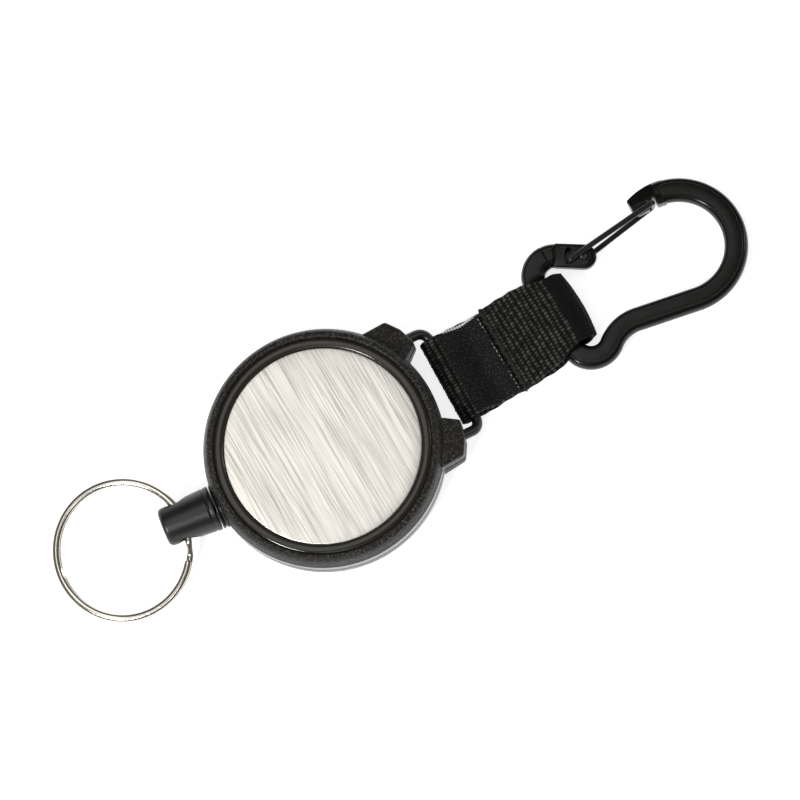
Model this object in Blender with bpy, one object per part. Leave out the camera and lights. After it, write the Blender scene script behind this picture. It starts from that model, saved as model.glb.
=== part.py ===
"""Retractable key reel: a round cord reel with a webbing strap, a wire gate carabiner and a split key ring.

Metres, +Z up. The origin is the centre of the case's flat back. +X runs through the strap to the carabiner,
and the reel lies on its back with the round face up.
"""

from math import acos, asin, atan2, ceil, cos, degrees, pi, radians, sin, sqrt, tan

import bmesh
import bpy
from mathutils import Matrix, Vector

# Clearances shared by all pieces
SEAT_GAP = 0.0003
CUT_OVERRUN = 0.002
ROUND_STEPS = 56
SMALL_ROUND_STEPS = 24
QUARTER_STEPS = 4
HIDDEN_STEPS = 36
SMOOTH_ANGLE = radians(35)

# Case shells
CASE_R = 0.0252
CASE_H = 0.0130
SPLIT_DROP = 0.0005
CASE_WALL = 0.0030
BACK_WALL = 0.0015
BACK_EDGE_W = 0.0040
BACK_EDGE_H = 0.0034
LIP_T = 0.0012
LIP_H = 0.0011
RIM_W = 0.00245
RIM_SIDE_H = 0.0034
RIM_START_ANGLE = radians(12)
RIM_STEPS = 7
FACE_RECESS = 0.0017
FACE_WALL = 0.0012
CEILING_FILLET = 0.0006

# Face plate and bezel
PLATE_T = 0.0006
BEZEL_W = 0.0015
BEZEL_RIDGE_H = 0.0012
BEZEL_LAND_H = 0.0005
# Points of the bezel's top, as shares of its width inwards and of the ridge's height above the land
BEZEL_TOP_SHARES = ((0, 1 / 2), (1 / 8, 1), (1 / 4, 1), (3 / 8, 1 / 2), (5 / 8, 1 / 6), (1, 0))

# Strap lugs on the case. IN and OUT are from the case's edge, SPREAD and NARROW from the bail's leg
LUG_SHOULDER_IN = 0.0015
LUG_CORNER_OUT = 0.0008
LUG_TIP_OUT = 0.0017
LUG_FLANK_IN = 0.0010
LUG_ROOT_SPREAD = 0.0046
LUG_CORNER_SPREAD = 0.0021
LUG_TIP_NARROW = 0.00205
LUG_FLANK_NARROW = 0.0045
LUG_TOP_DROP = 0.0018
LUG_BOTTOM_Z = 0.0010
LUG_SLOPE = 0.0011
LUG_CHAMFER = 0.0006
LUG_ROOT_STEPS = 4

# Bail wire between the lugs
BAIL_WIRE_R = 0.0010
BAIL_PIVOT_IN = 0.0012
BAIL_SIDE_ROOM = 0.002275
BAIL_PIN_L = 0.0028
BAIL_LENGTH = 0.0072
BAIL_CORNER_R = 0.0027
BAIL_PIN_BEND_R = 0.00115
BAIL_UP_ANGLE = radians(25)
BAIL_DOWN_ANGLE = radians(32)
BAIL_MOUTH_SPARE = radians(1.5)
BAIL_SIDES = 12
BAIL_BEND_STEPS = 5

# Spool, winding and spring
ARBOR_R = 0.0024
ARBOR_FOOT_R = 0.0036
ARBOR_SINK = 0.0006
ARBOR_SLOT_W = 0.0009
WASHER_T = 0.0004
WASHER_W = 0.0050
FLANGE_ROOM = 0.0027
FLANGE_T = 0.0008
WINDING_DEPTH = 0.0060
DRUM_WALL = 0.0009
CORD_D = 0.0010
CORD_TURN_GAP = 0.00045
WINDING_STEPS = 24
SPRING_T = 0.0003
SPRING_TURNS = 7
SPRING_STEPS = 18

# Cord exit
EXIT_ANGLE = radians(8.7)
EXIT_IN = 0.0087
GUIDE_R = 0.0034
GUIDE_BORE_R = 0.00125
GUIDE_FLARE_R = 0.0027
GUIDE_FLANGE_R = 0.0040
GUIDE_FLANGE_T = 0.0008
GUIDE_INNER_S = 0.0041
GUIDE_COLLAR_R = 0.00485
GUIDE_COLLAR_T = 0.0013
GUIDE_GROOVE = 0.0004
GUIDE_WALL_S = 0.0079

# Bell on the cord's end
BELL_L = 0.0115
BELL_R_CASE = 0.00485
BELL_R_RING = 0.00405
BELL_ROUND = 0.0010
BELL_LIP_S = 0.0011
BELL_LIP_DEPTH = 0.00015
BELL_BORE_R = 0.0009
BELL_CHAMBER_R = 0.0020
BELL_CHAMBER_S = 0.0026
BELL_HOLE_S = 0.00745
BELL_HOLE_R = 0.0021
BELL_HOLE_FLARE = 0.0005
FERRULE_R = 0.0016
FERRULE_L = 0.0020

# Key ring
RING_R = 0.0142
RING_WIRE_W = 0.0015
RING_WIRE_T = 0.00095
RING_TURN_GAP = 0.00035
RING_RISE = radians(8.9)
RING_LEAN = radians(4.6)
RING_HEADING = radians(174.3)
RING_TIP_ANGLE = radians(-40)
RING_SWEEP = radians(685)
RING_STEP_START = radians(343)
RING_STEP_END = radians(357)
RING_STEP_ANGLE = radians(9)

# Webbing strap
WEBBING_W = 0.01905
WEBBING_T = 0.00135
REST_CLEAR = 0.0001
EYE_BAIL_R = 0.0015
EYE_BAR_H = 0.00275
STRAP_FOLD_SPARE = 0.00075
STRAP_BAR_X = 0.02475
STRAP_FOLD_X = 0.02665
STRAP_SEWN_X = 0.0080
STRAP_END_X = 0.0122
STRAP_OPEN_X = 0.0175
STRAP_NARROW_X = 0.0190
STRAP_STEP = 0.0010
STRAP_EYE_STEPS = 10
STRAP_FOLD_STEPS = 12
STRAP_CLOSING_SHARE = 0.6
LAYER_GAP = 0.0001

# Woven label on the strap
LABEL_T = 0.00035
LABEL_START_X = 0.0012
LABEL_END_X = 0.0112
LABEL_MARGIN = 0.000225

# Carabiner, measured from the middle of its base bar
HOOK_X = 0.0302
HOOK_R = 0.0120
SPINE_ANGLE = radians(11.6)
HOOK_END_ANGLE = radians(82)
BEND_R = 0.0085
BASE_LOW_Y = -0.0073
BASE_LOW_R = 0.0046
BASE_HIGH_Y = 0.0075
BASE_HIGH_R = 0.0045
TAB_ANGLE = radians(-33)
TAB_L = 0.0060
TAB_W = 0.00515
TAB_T = 0.0026
BAR_W = 0.0050
BAR_T = 0.0046
BAND_W = 0.0024
BAND_STEP = 0.00045
CARABINER_STEP = 0.0015
BASE_BAR_SHARE = 0.845
TAB_STEPS = 10
# Points of the bar's round edge, as shares of its half width and of the shoulder's height
BAR_EDGE_SHARES = ((0.93, 0.55), (0.74, 0.92))
BAR_SHOULDER_SHARE = 0.47

# Nose of the carabiner
NOSE_TIP_X = 0.02555
NOSE_LAND_Y = 0.0114
NOSE_WEB_Y = 0.00965
NOSE_T = 0.0040
NOTCH_X = 0.02995
NOTCH_W = 0.0019
NOSE_STEPS = 6
NOSE_BACK_ANGLE = radians(6)

# Wire gate
GATE_WIRE_R = 0.0006
GATE_PIVOT_X = 0.01195
GATE_PIVOT_Y = 0.0080
GATE_HEEL_X = 0.00855
GATE_HEEL_Y = 0.0087
GATE_LOOP_Y = 0.01045
GATE_BEND_R = 0.0009
GATE_OPEN_ANGLE = radians(40)
GATE_SLOT_STEPS = 6
GATE_HOLE_STEPS = 16
GATE_SIDES = 10

# Colours, roughness and metallic values of the pieces
FINISHES = {
    "black_moulding": ((0.018, 0.018, 0.019), 0.52, 0.0),
    "bezel_gloss": ((0.015, 0.015, 0.016), 0.22, 0.0),
    "brushed_plate": ((0.74, 0.72, 0.68), 0.34, 1.0),
    "guide_acetal": ((0.012, 0.012, 0.012), 0.40, 0.0),
    "bell_rubber": ((0.030, 0.030, 0.031), 0.45, 0.0),
    "nickel_wire": ((0.78, 0.74, 0.67), 0.18, 1.0),
    "black_wire": ((0.030, 0.030, 0.030), 0.38, 0.6),
    "webbing": ((0.016, 0.017, 0.016), 0.85, 0.0),
    "label_weave": ((0.020, 0.020, 0.021), 0.75, 0.0),
    "anodised_black": ((0.020, 0.020, 0.021), 0.24, 0.7),
    "aramid_cord": ((0.020, 0.020, 0.020), 0.80, 0.0),
    "spring_steel": ((0.33, 0.35, 0.40), 0.30, 1.0),
    "spool_acetal": ((0.72, 0.72, 0.68), 0.45, 0.0),
    "arbor_brass": ((0.70, 0.55, 0.28), 0.30, 1.0),
    "washer_film": ((0.80, 0.80, 0.76), 0.50, 0.0),
}


def clear_scene():
    for obj in list(bpy.data.objects):
        bpy.data.objects.remove(obj, do_unlink=True)


def finish(name):
    """The material of this name, made on its first use."""
    found = bpy.data.materials.get(name)
    if found:
        return found
    colour, roughness, metallic = FINISHES[name]
    made = bpy.data.materials.new(name)
    made.use_nodes = True
    shader = made.node_tree.nodes["Principled BSDF"]
    shader.inputs["Base Color"].default_value = (*colour, 1.0)
    shader.inputs["Roughness"].default_value = roughness
    shader.inputs["Metallic"].default_value = metallic
    made.diffuse_color = (*colour, 1.0)
    return made


def link(obj):
    bpy.context.scene.collection.objects.link(obj)
    return obj


def frame_at(name, location, axes=None, parent=None):
    """An empty at a joint or an axis. axes holds its X, Y and Z directions."""
    empty = link(bpy.data.objects.new(name, None))
    turn = Matrix(axes).transposed().to_4x4() if axes else Matrix.Identity(4)
    empty.parent = parent
    empty.matrix_local = Matrix.Translation(location) @ turn
    empty.empty_display_size = SEAT_GAP
    return empty


def piece(name, bm, look, parent=None):
    """A named object from a bmesh, whose faces it turns outwards."""
    bmesh.ops.recalc_face_normals(bm, faces=bm.faces)
    mesh = bpy.data.meshes.new(name)
    bm.to_mesh(mesh)
    bm.free()
    mesh.shade_smooth()
    mesh.set_sharp_from_angle(angle=SMOOTH_ANGLE)
    mesh.materials.append(finish(look))
    obj = link(bpy.data.objects.new(name, mesh))
    obj.parent = parent
    return obj


def helper(name, bm, look, parent=None):
    """A cutter or an added shape for a Boolean, which isn't a piece itself."""
    obj = piece(name, bm, look, parent)
    obj.hide_render = True
    obj.display_type = "WIRE"
    return obj


def boolean(obj, other, operation):
    change = obj.modifiers.new(f"{operation.lower()}_{other.name}", "BOOLEAN")
    change.operation = operation
    change.object = other
    change.solver = "EXACT"
    return obj


def cut(obj, other):
    return boolean(obj, other, "DIFFERENCE")


def join(obj, other):
    return boolean(obj, other, "UNION")


def revolve(profile, steps=ROUND_STEPS, closed=False):
    """A profile of (radius, height) points turned about Z. An open profile starts and ends on the axis."""
    bm = bmesh.new()
    rings = []
    for radius, height in profile:
        count = steps if radius > 0 else 1
        turns = [2 * pi * k / steps for k in range(count)]
        rings.append([bm.verts.new((radius * cos(a), radius * sin(a), height)) for a in turns])
    pairs = list(zip(rings, rings[1:]))
    if closed:
        pairs.append((rings[-1], rings[0]))
    for low, high in pairs:
        for k in range(steps):
            corners = [low[k % len(low)], low[(k + 1) % len(low)]]
            corners += [high[(k + 1) % len(high)], high[k % len(high)]]
            bm.faces.new(dict.fromkeys(corners))
    return bm


def rod(radius, start, end, steps=SMALL_ROUND_STEPS):
    """A round bar along Z."""
    return revolve([(0, start), (radius, start), (radius, end), (0, end)], steps)


def prism(outline, bottoms, tops):
    """An outline of (x, y) points between a lower and an upper height, which may differ from point to point."""
    bm = bmesh.new()
    low = [bm.verts.new((x, y, z)) for (x, y), z in zip(outline, bottoms)]
    high = [bm.verts.new((x, y, z)) for (x, y), z in zip(outline, tops)]
    count = len(outline)
    for k in range(count):
        after = (k + 1) % count
        bm.faces.new((low[k], low[after], high[after], high[k]))
    bm.faces.new(low)
    bm.faces.new(high)
    return bm


def plate(outline, low, high):
    return prism(outline, [low] * len(outline), [high] * len(outline))


def turned(bm, matrix):
    bm.transform(matrix)
    return bm


def arc(centre, radius, start, end, steps):
    """Points along an arc, both ends included."""
    turns = [start + (end - start) * k / steps for k in range(steps + 1)]
    return [(centre[0] + radius * cos(a), centre[1] + radius * sin(a)) for a in turns]


def rounded_path(points, radii, steps=4):
    """A polyline in space whose inner corners are rounded to the given radii."""
    path = [Vector(points[0])]
    for before, corner, after, radius in zip(points, points[1:], points[2:], radii):
        corner = Vector(corner)
        back = (Vector(before) - corner).normalized()
        ahead = (Vector(after) - corner).normalized()
        half = back.angle(ahead) / 2
        reach = radius / tan(half)
        centre = corner + (back + ahead).normalized() * (radius / sin(half))
        first = corner + back * reach - centre
        last = corner + ahead * reach - centre
        spread = first.angle(last)
        for k in range(steps + 1):
            share = k / steps
            mix = first * sin((1 - share) * spread) + last * sin(share * spread)
            path.append(centre + mix / sin(spread))
    path.append(Vector(points[-1]))
    return path


def sweep(path, section, up):
    """A closed section of (across, along up) points carried along a path. up gives the upright direction."""
    bm = bmesh.new()
    rings = []
    count = len(path)
    for k, point in enumerate(path):
        before = path[max(k - 1, 0)]
        after = path[min(k + 1, count - 1)]
        ahead = (after - before).normalized()
        upright = up(k) if callable(up) else up
        across = ahead.cross(upright).normalized()
        upright = across.cross(ahead).normalized()
        outline = section(k) if callable(section) else section
        rings.append([bm.verts.new(point + across * a + upright * b) for a, b in outline])
    size = len(rings[0])
    for low, high in zip(rings, rings[1:]):
        for k in range(size):
            after = (k + 1) % size
            bm.faces.new((low[k], low[after], high[after], high[k]))
    bm.faces.new(rings[0])
    bm.faces.new(rings[-1])
    return bm


def round_section(radius, sides):
    return [(radius * cos(2 * pi * k / sides), radius * sin(2 * pi * k / sides)) for k in range(sides)]


def wire_up(path):
    """An upright direction for each point of a wire, carried along it without twist."""
    ahead = (path[1] - path[0]).normalized()
    upright = ahead.orthogonal().normalized()
    found = []
    for k in range(len(path)):
        after = path[min(k + 1, len(path) - 1)]
        before = path[max(k - 1, 0)]
        ahead = (after - before).normalized()
        upright = (upright - ahead * upright.dot(ahead)).normalized()
        found.append(upright.copy())
    return found


def wire(path, radius, sides):
    """A round wire along a path."""
    ups = wire_up(path)
    return sweep(path, round_section(radius, sides), lambda k: ups[k])


def tube_curve(name, path, radius, look, parent=None):
    """A cord as a curve with a bevel and filled caps."""
    curve = bpy.data.curves.new(name, "CURVE")
    curve.dimensions = "3D"
    curve.bevel_depth = radius
    curve.bevel_resolution = 1
    curve.use_fill_caps = True
    spline = curve.splines.new("POLY")
    spline.points.add(len(path) - 1)
    for point, place in zip(spline.points, path):
        point.co = (*place, 1.0)
    curve.materials.append(finish(look))
    obj = link(bpy.data.objects.new(name, curve))
    obj.parent = parent
    return obj


def quarter_turns():
    return [pi / 2 * k / QUARTER_STEPS for k in range(QUARTER_STEPS + 1)]


def smoothstep(share):
    share = min(max(share, 0.0), 1.0)
    return share * share * (3 - 2 * share)


# Places across the case, and heights inside it from the back to the face
SPLIT_Z = CASE_H / 2 - SPLIT_DROP
CAVITY_R = CASE_R - CASE_WALL
FLANGE_R = CAVITY_R - FLANGE_ROOM
DRUM_R = FLANGE_R - WINDING_DEPTH
EXIT_X = CASE_R - EXIT_IN
BAIL_PIVOT_X = CASE_R - BAIL_PIVOT_IN
BAIL_LEG_Y = WEBBING_W / 2 + BAIL_SIDE_ROOM
STRAP_FOLD_W = BASE_HIGH_Y - BASE_LOW_Y + STRAP_FOLD_SPARE
LUG_FLANK_Y = BAIL_LEG_Y - LUG_FLANK_NARROW
LUG_ROOT_Y = BAIL_LEG_Y + LUG_ROOT_SPREAD
RECESS_Z = CASE_H - FACE_RECESS
CEILING_Z = RECESS_Z - FACE_WALL
RIM_INNER_R = CASE_R - RIM_W
WASHER_Z = BACK_WALL + SEAT_GAP
FLANGE_Z = WASHER_Z + WASHER_T + SEAT_GAP
COVER_Z = CEILING_Z - SEAT_GAP - FLANGE_T
DRUM_TOP_Z = COVER_Z - SEAT_GAP
CHAMBER_Z = FLANGE_Z + FLANGE_T
WINDING_Z = (CHAMBER_Z + COVER_Z) / 2
CORD_R = CORD_D / 2
INNER_LAYER_R = DRUM_R + SEAT_GAP
OUTER_LAYER_R = INNER_LAYER_R + CORD_D + CORD_R
SEAM_HALF = SEAT_GAP / 2
GUIDE_END_S = GUIDE_WALL_S + GUIDE_COLLAR_T
BELL_START_S = GUIDE_END_S + SEAT_GAP


def cord_axis_frame():
    """The straight line that the cord leaves on. Its Z runs outwards and its X points up."""
    ahead = Vector((-cos(EXIT_ANGLE), sin(EXIT_ANGLE), 0))
    up = Vector((0, 0, 1))
    return frame_at("cord_axis", (-EXIT_X, 0, SPLIT_Z), (up, ahead.cross(up), ahead))


def guide_profile(spare):
    """The outer steps of the cord guide, from its inner end outwards, grown by spare on every side."""
    inner = GUIDE_INNER_S - spare
    neck = GUIDE_INNER_S + GUIDE_FLANGE_T + spare
    collar = GUIDE_WALL_S - spare
    return [
        (GUIDE_FLANGE_R + spare, inner),
        (GUIDE_FLANGE_R + spare, neck),
        (GUIDE_R + spare, neck),
        (GUIDE_R + spare, collar),
        (GUIDE_COLLAR_R + spare, collar),
    ]


def guide_seat(name, axis):
    """The stepped hole that the guide sits in, open to the outside."""
    outside = GUIDE_END_S + CUT_OVERRUN
    profile = [(0, GUIDE_INNER_S - SEAT_GAP), *guide_profile(SEAT_GAP)]
    profile += [(GUIDE_COLLAR_R + SEAT_GAP, outside), (0, outside)]
    return helper(name, revolve(profile, SMALL_ROUND_STEPS), "black_moulding", axis)


def lug_outline(side):
    """One lug seen from above, rooted in the middle of the case's wall."""
    root_r = CASE_R - LIP_T / 2
    start = asin(LUG_ROOT_Y / root_r)
    end = asin(LUG_FLANK_Y / root_r)
    root = arc((0, 0), root_r, end, start, LUG_ROOT_STEPS)
    outer = [
        (CASE_R - LUG_SHOULDER_IN, LUG_ROOT_Y),
        (CASE_R + LUG_CORNER_OUT, BAIL_LEG_Y + LUG_CORNER_SPREAD),
        (CASE_R + LUG_TIP_OUT, BAIL_LEG_Y - LUG_TIP_NARROW),
        (CASE_R - LUG_FLANK_IN, LUG_FLANK_Y),
    ]
    return [(x, side * y) for x, y in root + outer]


def lug(name, side, seam_z, far_z, slope):
    """Half of a lug, from the seam to its sloping top or bottom, with the far edges chamfered."""
    outline = lug_outline(side)
    flat = LUG_ROOT_STEPS + 1
    far = [far_z] * flat + [far_z - slope] * (len(outline) - flat - 1) + [far_z]
    bm = prism(outline, [seam_z] * len(outline), far)
    bm.verts.index_update()
    first = len(outline)
    places = [(min(v.index for v in e.verts), max(v.index for v in e.verts), e) for e in bm.edges]
    outward = [e for low, high, e in places if low >= first and high >= first + flat]
    bmesh.ops.bevel(bm, geom=outward, offset=LUG_CHAMFER, segments=1, affect="EDGES")
    bmesh.ops.triangulate(bm, faces=bm.faces)
    return helper(name, bm, "black_moulding")


def mouth(name, side):
    """The slot and pin hole in a lug that the bail's leg swings in."""
    clear_r = BAIL_WIRE_R + SEAT_GAP
    up = BAIL_UP_ANGLE + BAIL_MOUTH_SPARE
    down = BAIL_DOWN_ANGLE + BAIL_MOUTH_SPARE
    reach = BAIL_LENGTH
    outline = arc((0, 0), clear_r, pi / 2 + up, 3 * pi / 2 - down, LUG_ROOT_STEPS)
    outline.append((outline[-1][0] + reach * cos(down), outline[-1][1] - reach * sin(down)))
    outline.append((outline[0][0] + reach * cos(up), outline[0][1] + reach * sin(up)))
    inner_y = BAIL_LEG_Y - clear_r
    outer_y = BAIL_LEG_Y + BAIL_PIN_BEND_R
    lay = Matrix(((1, 0, 0, BAIL_PIVOT_X), (0, 0, side, 0), (0, 1, 0, SPLIT_Z), (0, 0, 0, 1)))
    slot = turned(plate(outline, inner_y, outer_y), lay)
    slot = helper(name, slot, "black_moulding")
    pin = rod(clear_r, inner_y, BAIL_LEG_Y + BAIL_PIN_L + SEAT_GAP)
    return join(slot, helper(f"{name}_pin", turned(pin, lay), "black_moulding"))


def front_case(axis):
    """The upper shell: side wall, round rim, recess for the face, and the front halves of the lugs."""
    seam = SPLIT_Z + SEAM_HALF
    lip_r = CAVITY_R + LIP_T + SEAT_GAP
    lip_top = SPLIT_Z + LIP_H + SEAT_GAP
    rim_r = RIM_W / 2
    side_top = CASE_H - RIM_SIDE_H
    socket_r = ARBOR_R + SEAT_GAP
    socket_z = CEILING_Z + ARBOR_SINK
    profile = [(0, socket_z), (socket_r, socket_z), (socket_r, CEILING_Z)]
    profile += [(CAVITY_R - CEILING_FILLET, CEILING_Z), (CAVITY_R, CEILING_Z - CEILING_FILLET)]
    profile += [(CAVITY_R, lip_top), (lip_r, lip_top), (lip_r, seam), (CASE_R, seam), (CASE_R, side_top)]
    profile += [(CASE_R - rim_r + rim_r * cos(a), CASE_H - rim_r + rim_r * sin(a)) for a in rim_turns()]
    profile += [(RIM_INNER_R, RECESS_Z), (0, RECESS_Z)]
    shell = piece("front_case", revolve(profile), "black_moulding")
    for side, tag in ((1, "left"), (-1, "right")):
        join(shell, lug(f"front_lug_{tag}", side, seam, CASE_H - LUG_TOP_DROP, LUG_SLOPE))
        cut(shell, mouth(f"front_mouth_{tag}", side))
    cut(shell, guide_seat("front_guide_seat", axis))
    return shell


def rim_turns():
    """Directions round the rim's section, from the side wall over the top to the recess."""
    return [RIM_START_ANGLE + (pi - RIM_START_ANGLE) * k / RIM_STEPS for k in range(RIM_STEPS + 1)]


def rear_case(axis):
    """The lower shell: flat back, rounded edge, seam lip, arbor seat, and the rear halves of the lugs."""
    seam = SPLIT_Z - SEAM_HALF
    seat_r = ARBOR_FOOT_R + SEAT_GAP
    seat_z = BACK_WALL - ARBOR_SINK
    flat_r = CASE_R - BACK_EDGE_W
    profile = [(0, 0)]
    profile += [
        (flat_r + BACK_EDGE_W * sin(a), BACK_EDGE_H - BACK_EDGE_H * cos(a)) for a in quarter_turns()
    ]
    profile += [(CASE_R, seam), (CAVITY_R + LIP_T, seam), (CAVITY_R + LIP_T, SPLIT_Z + LIP_H)]
    profile += [(CAVITY_R, SPLIT_Z + LIP_H), (CAVITY_R, BACK_WALL + CEILING_FILLET)]
    profile += [(CAVITY_R - CEILING_FILLET, BACK_WALL), (seat_r, BACK_WALL), (seat_r, seat_z), (0, seat_z)]
    shell = piece("rear_case", revolve(profile), "black_moulding")
    for side, tag in ((1, "left"), (-1, "right")):
        join(shell, lug(f"rear_lug_{tag}", side, seam, LUG_BOTTOM_Z, -LUG_SLOPE))
        cut(shell, mouth(f"rear_mouth_{tag}", side))
    return cut(shell, guide_seat("rear_guide_seat", axis))


def face_plate():
    """The flat steel disc inside the bezel."""
    radius = RIM_INNER_R - SEAT_GAP - BEZEL_W - SEAT_GAP
    low = RECESS_Z + SEAT_GAP
    return piece("face_plate", rod(radius, low, low + PLATE_T, ROUND_STEPS), "brushed_plate")


def face_bezel():
    """The ring that holds the plate, with a ridge at its outer edge."""
    outer = RIM_INNER_R - SEAT_GAP
    low = RECESS_Z + SEAT_GAP
    land = low + BEZEL_LAND_H
    rise = BEZEL_RIDGE_H - BEZEL_LAND_H
    profile = [(outer - BEZEL_W, low), (outer, low)]
    profile += [(outer - BEZEL_W * inwards, land + rise * up) for inwards, up in BEZEL_TOP_SHARES]
    return piece("face_bezel", revolve(profile, closed=True), "bezel_gloss")


def arbor():
    """The slotted post between the shells. The spring's inner end sits in the slot."""
    foot = BACK_WALL - ARBOR_SINK + SEAT_GAP
    shoulder = FLANGE_Z - SEAT_GAP
    top = CEILING_Z + ARBOR_SINK - SEAT_GAP
    profile = [(0, foot), (ARBOR_FOOT_R, foot), (ARBOR_FOOT_R, shoulder)]
    profile += [(ARBOR_R, shoulder), (ARBOR_R, top), (0, top)]
    post = piece("arbor", revolve(profile, SMALL_ROUND_STEPS), "arbor_brass")
    half = ARBOR_SLOT_W / 2
    far = ARBOR_R + CUT_OVERRUN
    outline = [(-half, -far), (half, -far), (half, far), (-half, far)]
    slot = helper("arbor_slot", plate(outline, CHAMBER_Z, top + CUT_OVERRUN), "arbor_brass")
    return cut(post, slot)


def ring_profile(inner, outer, low, high):
    return [(inner, low), (outer, low), (outer, high), (inner, high)]


def spool_washer():
    inner = ARBOR_FOOT_R + SEAT_GAP
    profile = ring_profile(inner, inner + WASHER_W, WASHER_Z, WASHER_Z + WASHER_T)
    bm = revolve(profile, HIDDEN_STEPS, closed=True)
    return piece("spool_washer", bm, "washer_film")


def spool():
    """The lower flange and the drum wall, which is also the spring's chamber."""
    bore = ARBOR_R + SEAT_GAP
    profile = [(bore, FLANGE_Z), (FLANGE_R, FLANGE_Z), (FLANGE_R, CHAMBER_Z), (DRUM_R, CHAMBER_Z)]
    profile += [(DRUM_R, DRUM_TOP_Z), (DRUM_R - DRUM_WALL, DRUM_TOP_Z), (DRUM_R - DRUM_WALL, CHAMBER_Z)]
    profile += [(bore, CHAMBER_Z)]
    return piece("spool", revolve(profile, HIDDEN_STEPS, closed=True), "spool_acetal")


def spool_cover():
    """The upper flange, with a centring rim inside the drum wall."""
    bore = ARBOR_R + SEAT_GAP
    rim = DRUM_R - DRUM_WALL - SEAT_GAP
    low = DRUM_TOP_Z - FLANGE_T / 2
    profile = [(bore, COVER_Z), (rim - FLANGE_T, COVER_Z), (rim - FLANGE_T, low), (rim, low)]
    profile += [(rim, COVER_Z), (FLANGE_R, COVER_Z), (FLANGE_R, COVER_Z + FLANGE_T), (bore, COVER_Z + FLANGE_T)]
    return piece("spool_cover", revolve(profile, HIDDEN_STEPS, closed=True), "spool_acetal")


def cord_inner_layer():
    """The first layer of cord on the drum, which the outer turns hide."""
    low = CHAMBER_Z + SEAT_GAP
    high = COVER_Z - SEAT_GAP
    outer = OUTER_LAYER_R - CORD_R - SEAT_GAP
    bm = revolve(ring_profile(INNER_LAYER_R, outer, low, high), HIDDEN_STEPS, closed=True)
    return piece("cord_inner_layer", bm, "aramid_cord")


def cord_outer_layer():
    """The last layer of cord: one unbroken helix between the flanges."""
    pitch = CORD_D + CORD_TURN_GAP
    room = COVER_Z - CHAMBER_Z - 2 * SEAT_GAP - CORD_D
    turns = room / pitch
    steps = ceil(turns * WINDING_STEPS)
    path = []
    for k in range(steps + 1):
        angle = 2 * pi * turns * k / steps
        height = WINDING_Z - room / 2 + room * k / steps
        path.append(Vector((OUTER_LAYER_R * cos(angle), OUTER_LAYER_R * sin(angle), height)))
    apart = [(path[k + WINDING_STEPS] - path[k]).length for k in range(len(path) - WINDING_STEPS)]
    print(f"cord_outer_layer: {turns:.2f} turns, least gap {(min(apart) - CORD_D) * 1000:.2f} mm")
    return tube_curve("cord_outer_layer", path, CORD_R, "aramid_cord")


def power_spring():
    """The flat spiral spring, from a tab in the arbor's slot to the drum wall."""
    inner = ARBOR_R + 3 * SPRING_T
    outer = DRUM_R - DRUM_WALL - SEAT_GAP - FLANGE_T - SPRING_T
    steps = SPRING_TURNS * SPRING_STEPS
    low = CHAMBER_Z + SEAT_GAP
    high = DRUM_TOP_Z - FLANGE_T / 2 - SEAT_GAP
    path = [Vector((0, share * inner, (low + high) / 2)) for share in (1 / 3, 2 / 3)]
    for k in range(steps + 1):
        radius = inner + (outer - inner) * k / steps
        angle = pi / 2 + 2 * pi * SPRING_TURNS * k / steps
        path.append(Vector((radius * cos(angle), radius * sin(angle), (low + high) / 2)))
    half = (high - low) / 2
    section = [(-SPRING_T / 2, -half), (SPRING_T / 2, -half), (SPRING_T / 2, half), (-SPRING_T / 2, half)]
    return piece("power_spring", sweep(path, section, Vector((0, 0, 1))), "spring_steel")


def cord_guide(axis):
    """The flared bush that the cord runs out through, with a ribbed collar outside the case."""
    steps = guide_profile(0)
    groove = GUIDE_COLLAR_T / 3
    middle = (GUIDE_INNER_S + GUIDE_END_S) / 2
    profile = [(GUIDE_FLARE_R, GUIDE_INNER_S), *steps]
    profile += [
        (GUIDE_COLLAR_R, GUIDE_WALL_S + groove),
        (GUIDE_COLLAR_R - GUIDE_GROOVE, GUIDE_WALL_S + groove),
        (GUIDE_COLLAR_R - GUIDE_GROOVE, GUIDE_WALL_S + 2 * groove),
        (GUIDE_COLLAR_R, GUIDE_WALL_S + 2 * groove),
        (GUIDE_COLLAR_R, GUIDE_END_S),
        ((GUIDE_FLARE_R + GUIDE_BORE_R) / 2, GUIDE_END_S),
        (GUIDE_BORE_R, GUIDE_END_S - GUIDE_COLLAR_T),
        (GUIDE_BORE_R, middle),
        ((GUIDE_FLARE_R + 2 * GUIDE_BORE_R) / 3, (GUIDE_INNER_S + middle) / 2),
    ]
    return piece("cord_guide", revolve(profile, SMALL_ROUND_STEPS, closed=True), "guide_acetal", axis)


def bell_radius(along):
    return BELL_R_CASE + (BELL_R_RING - BELL_R_CASE) * along / BELL_L


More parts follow.
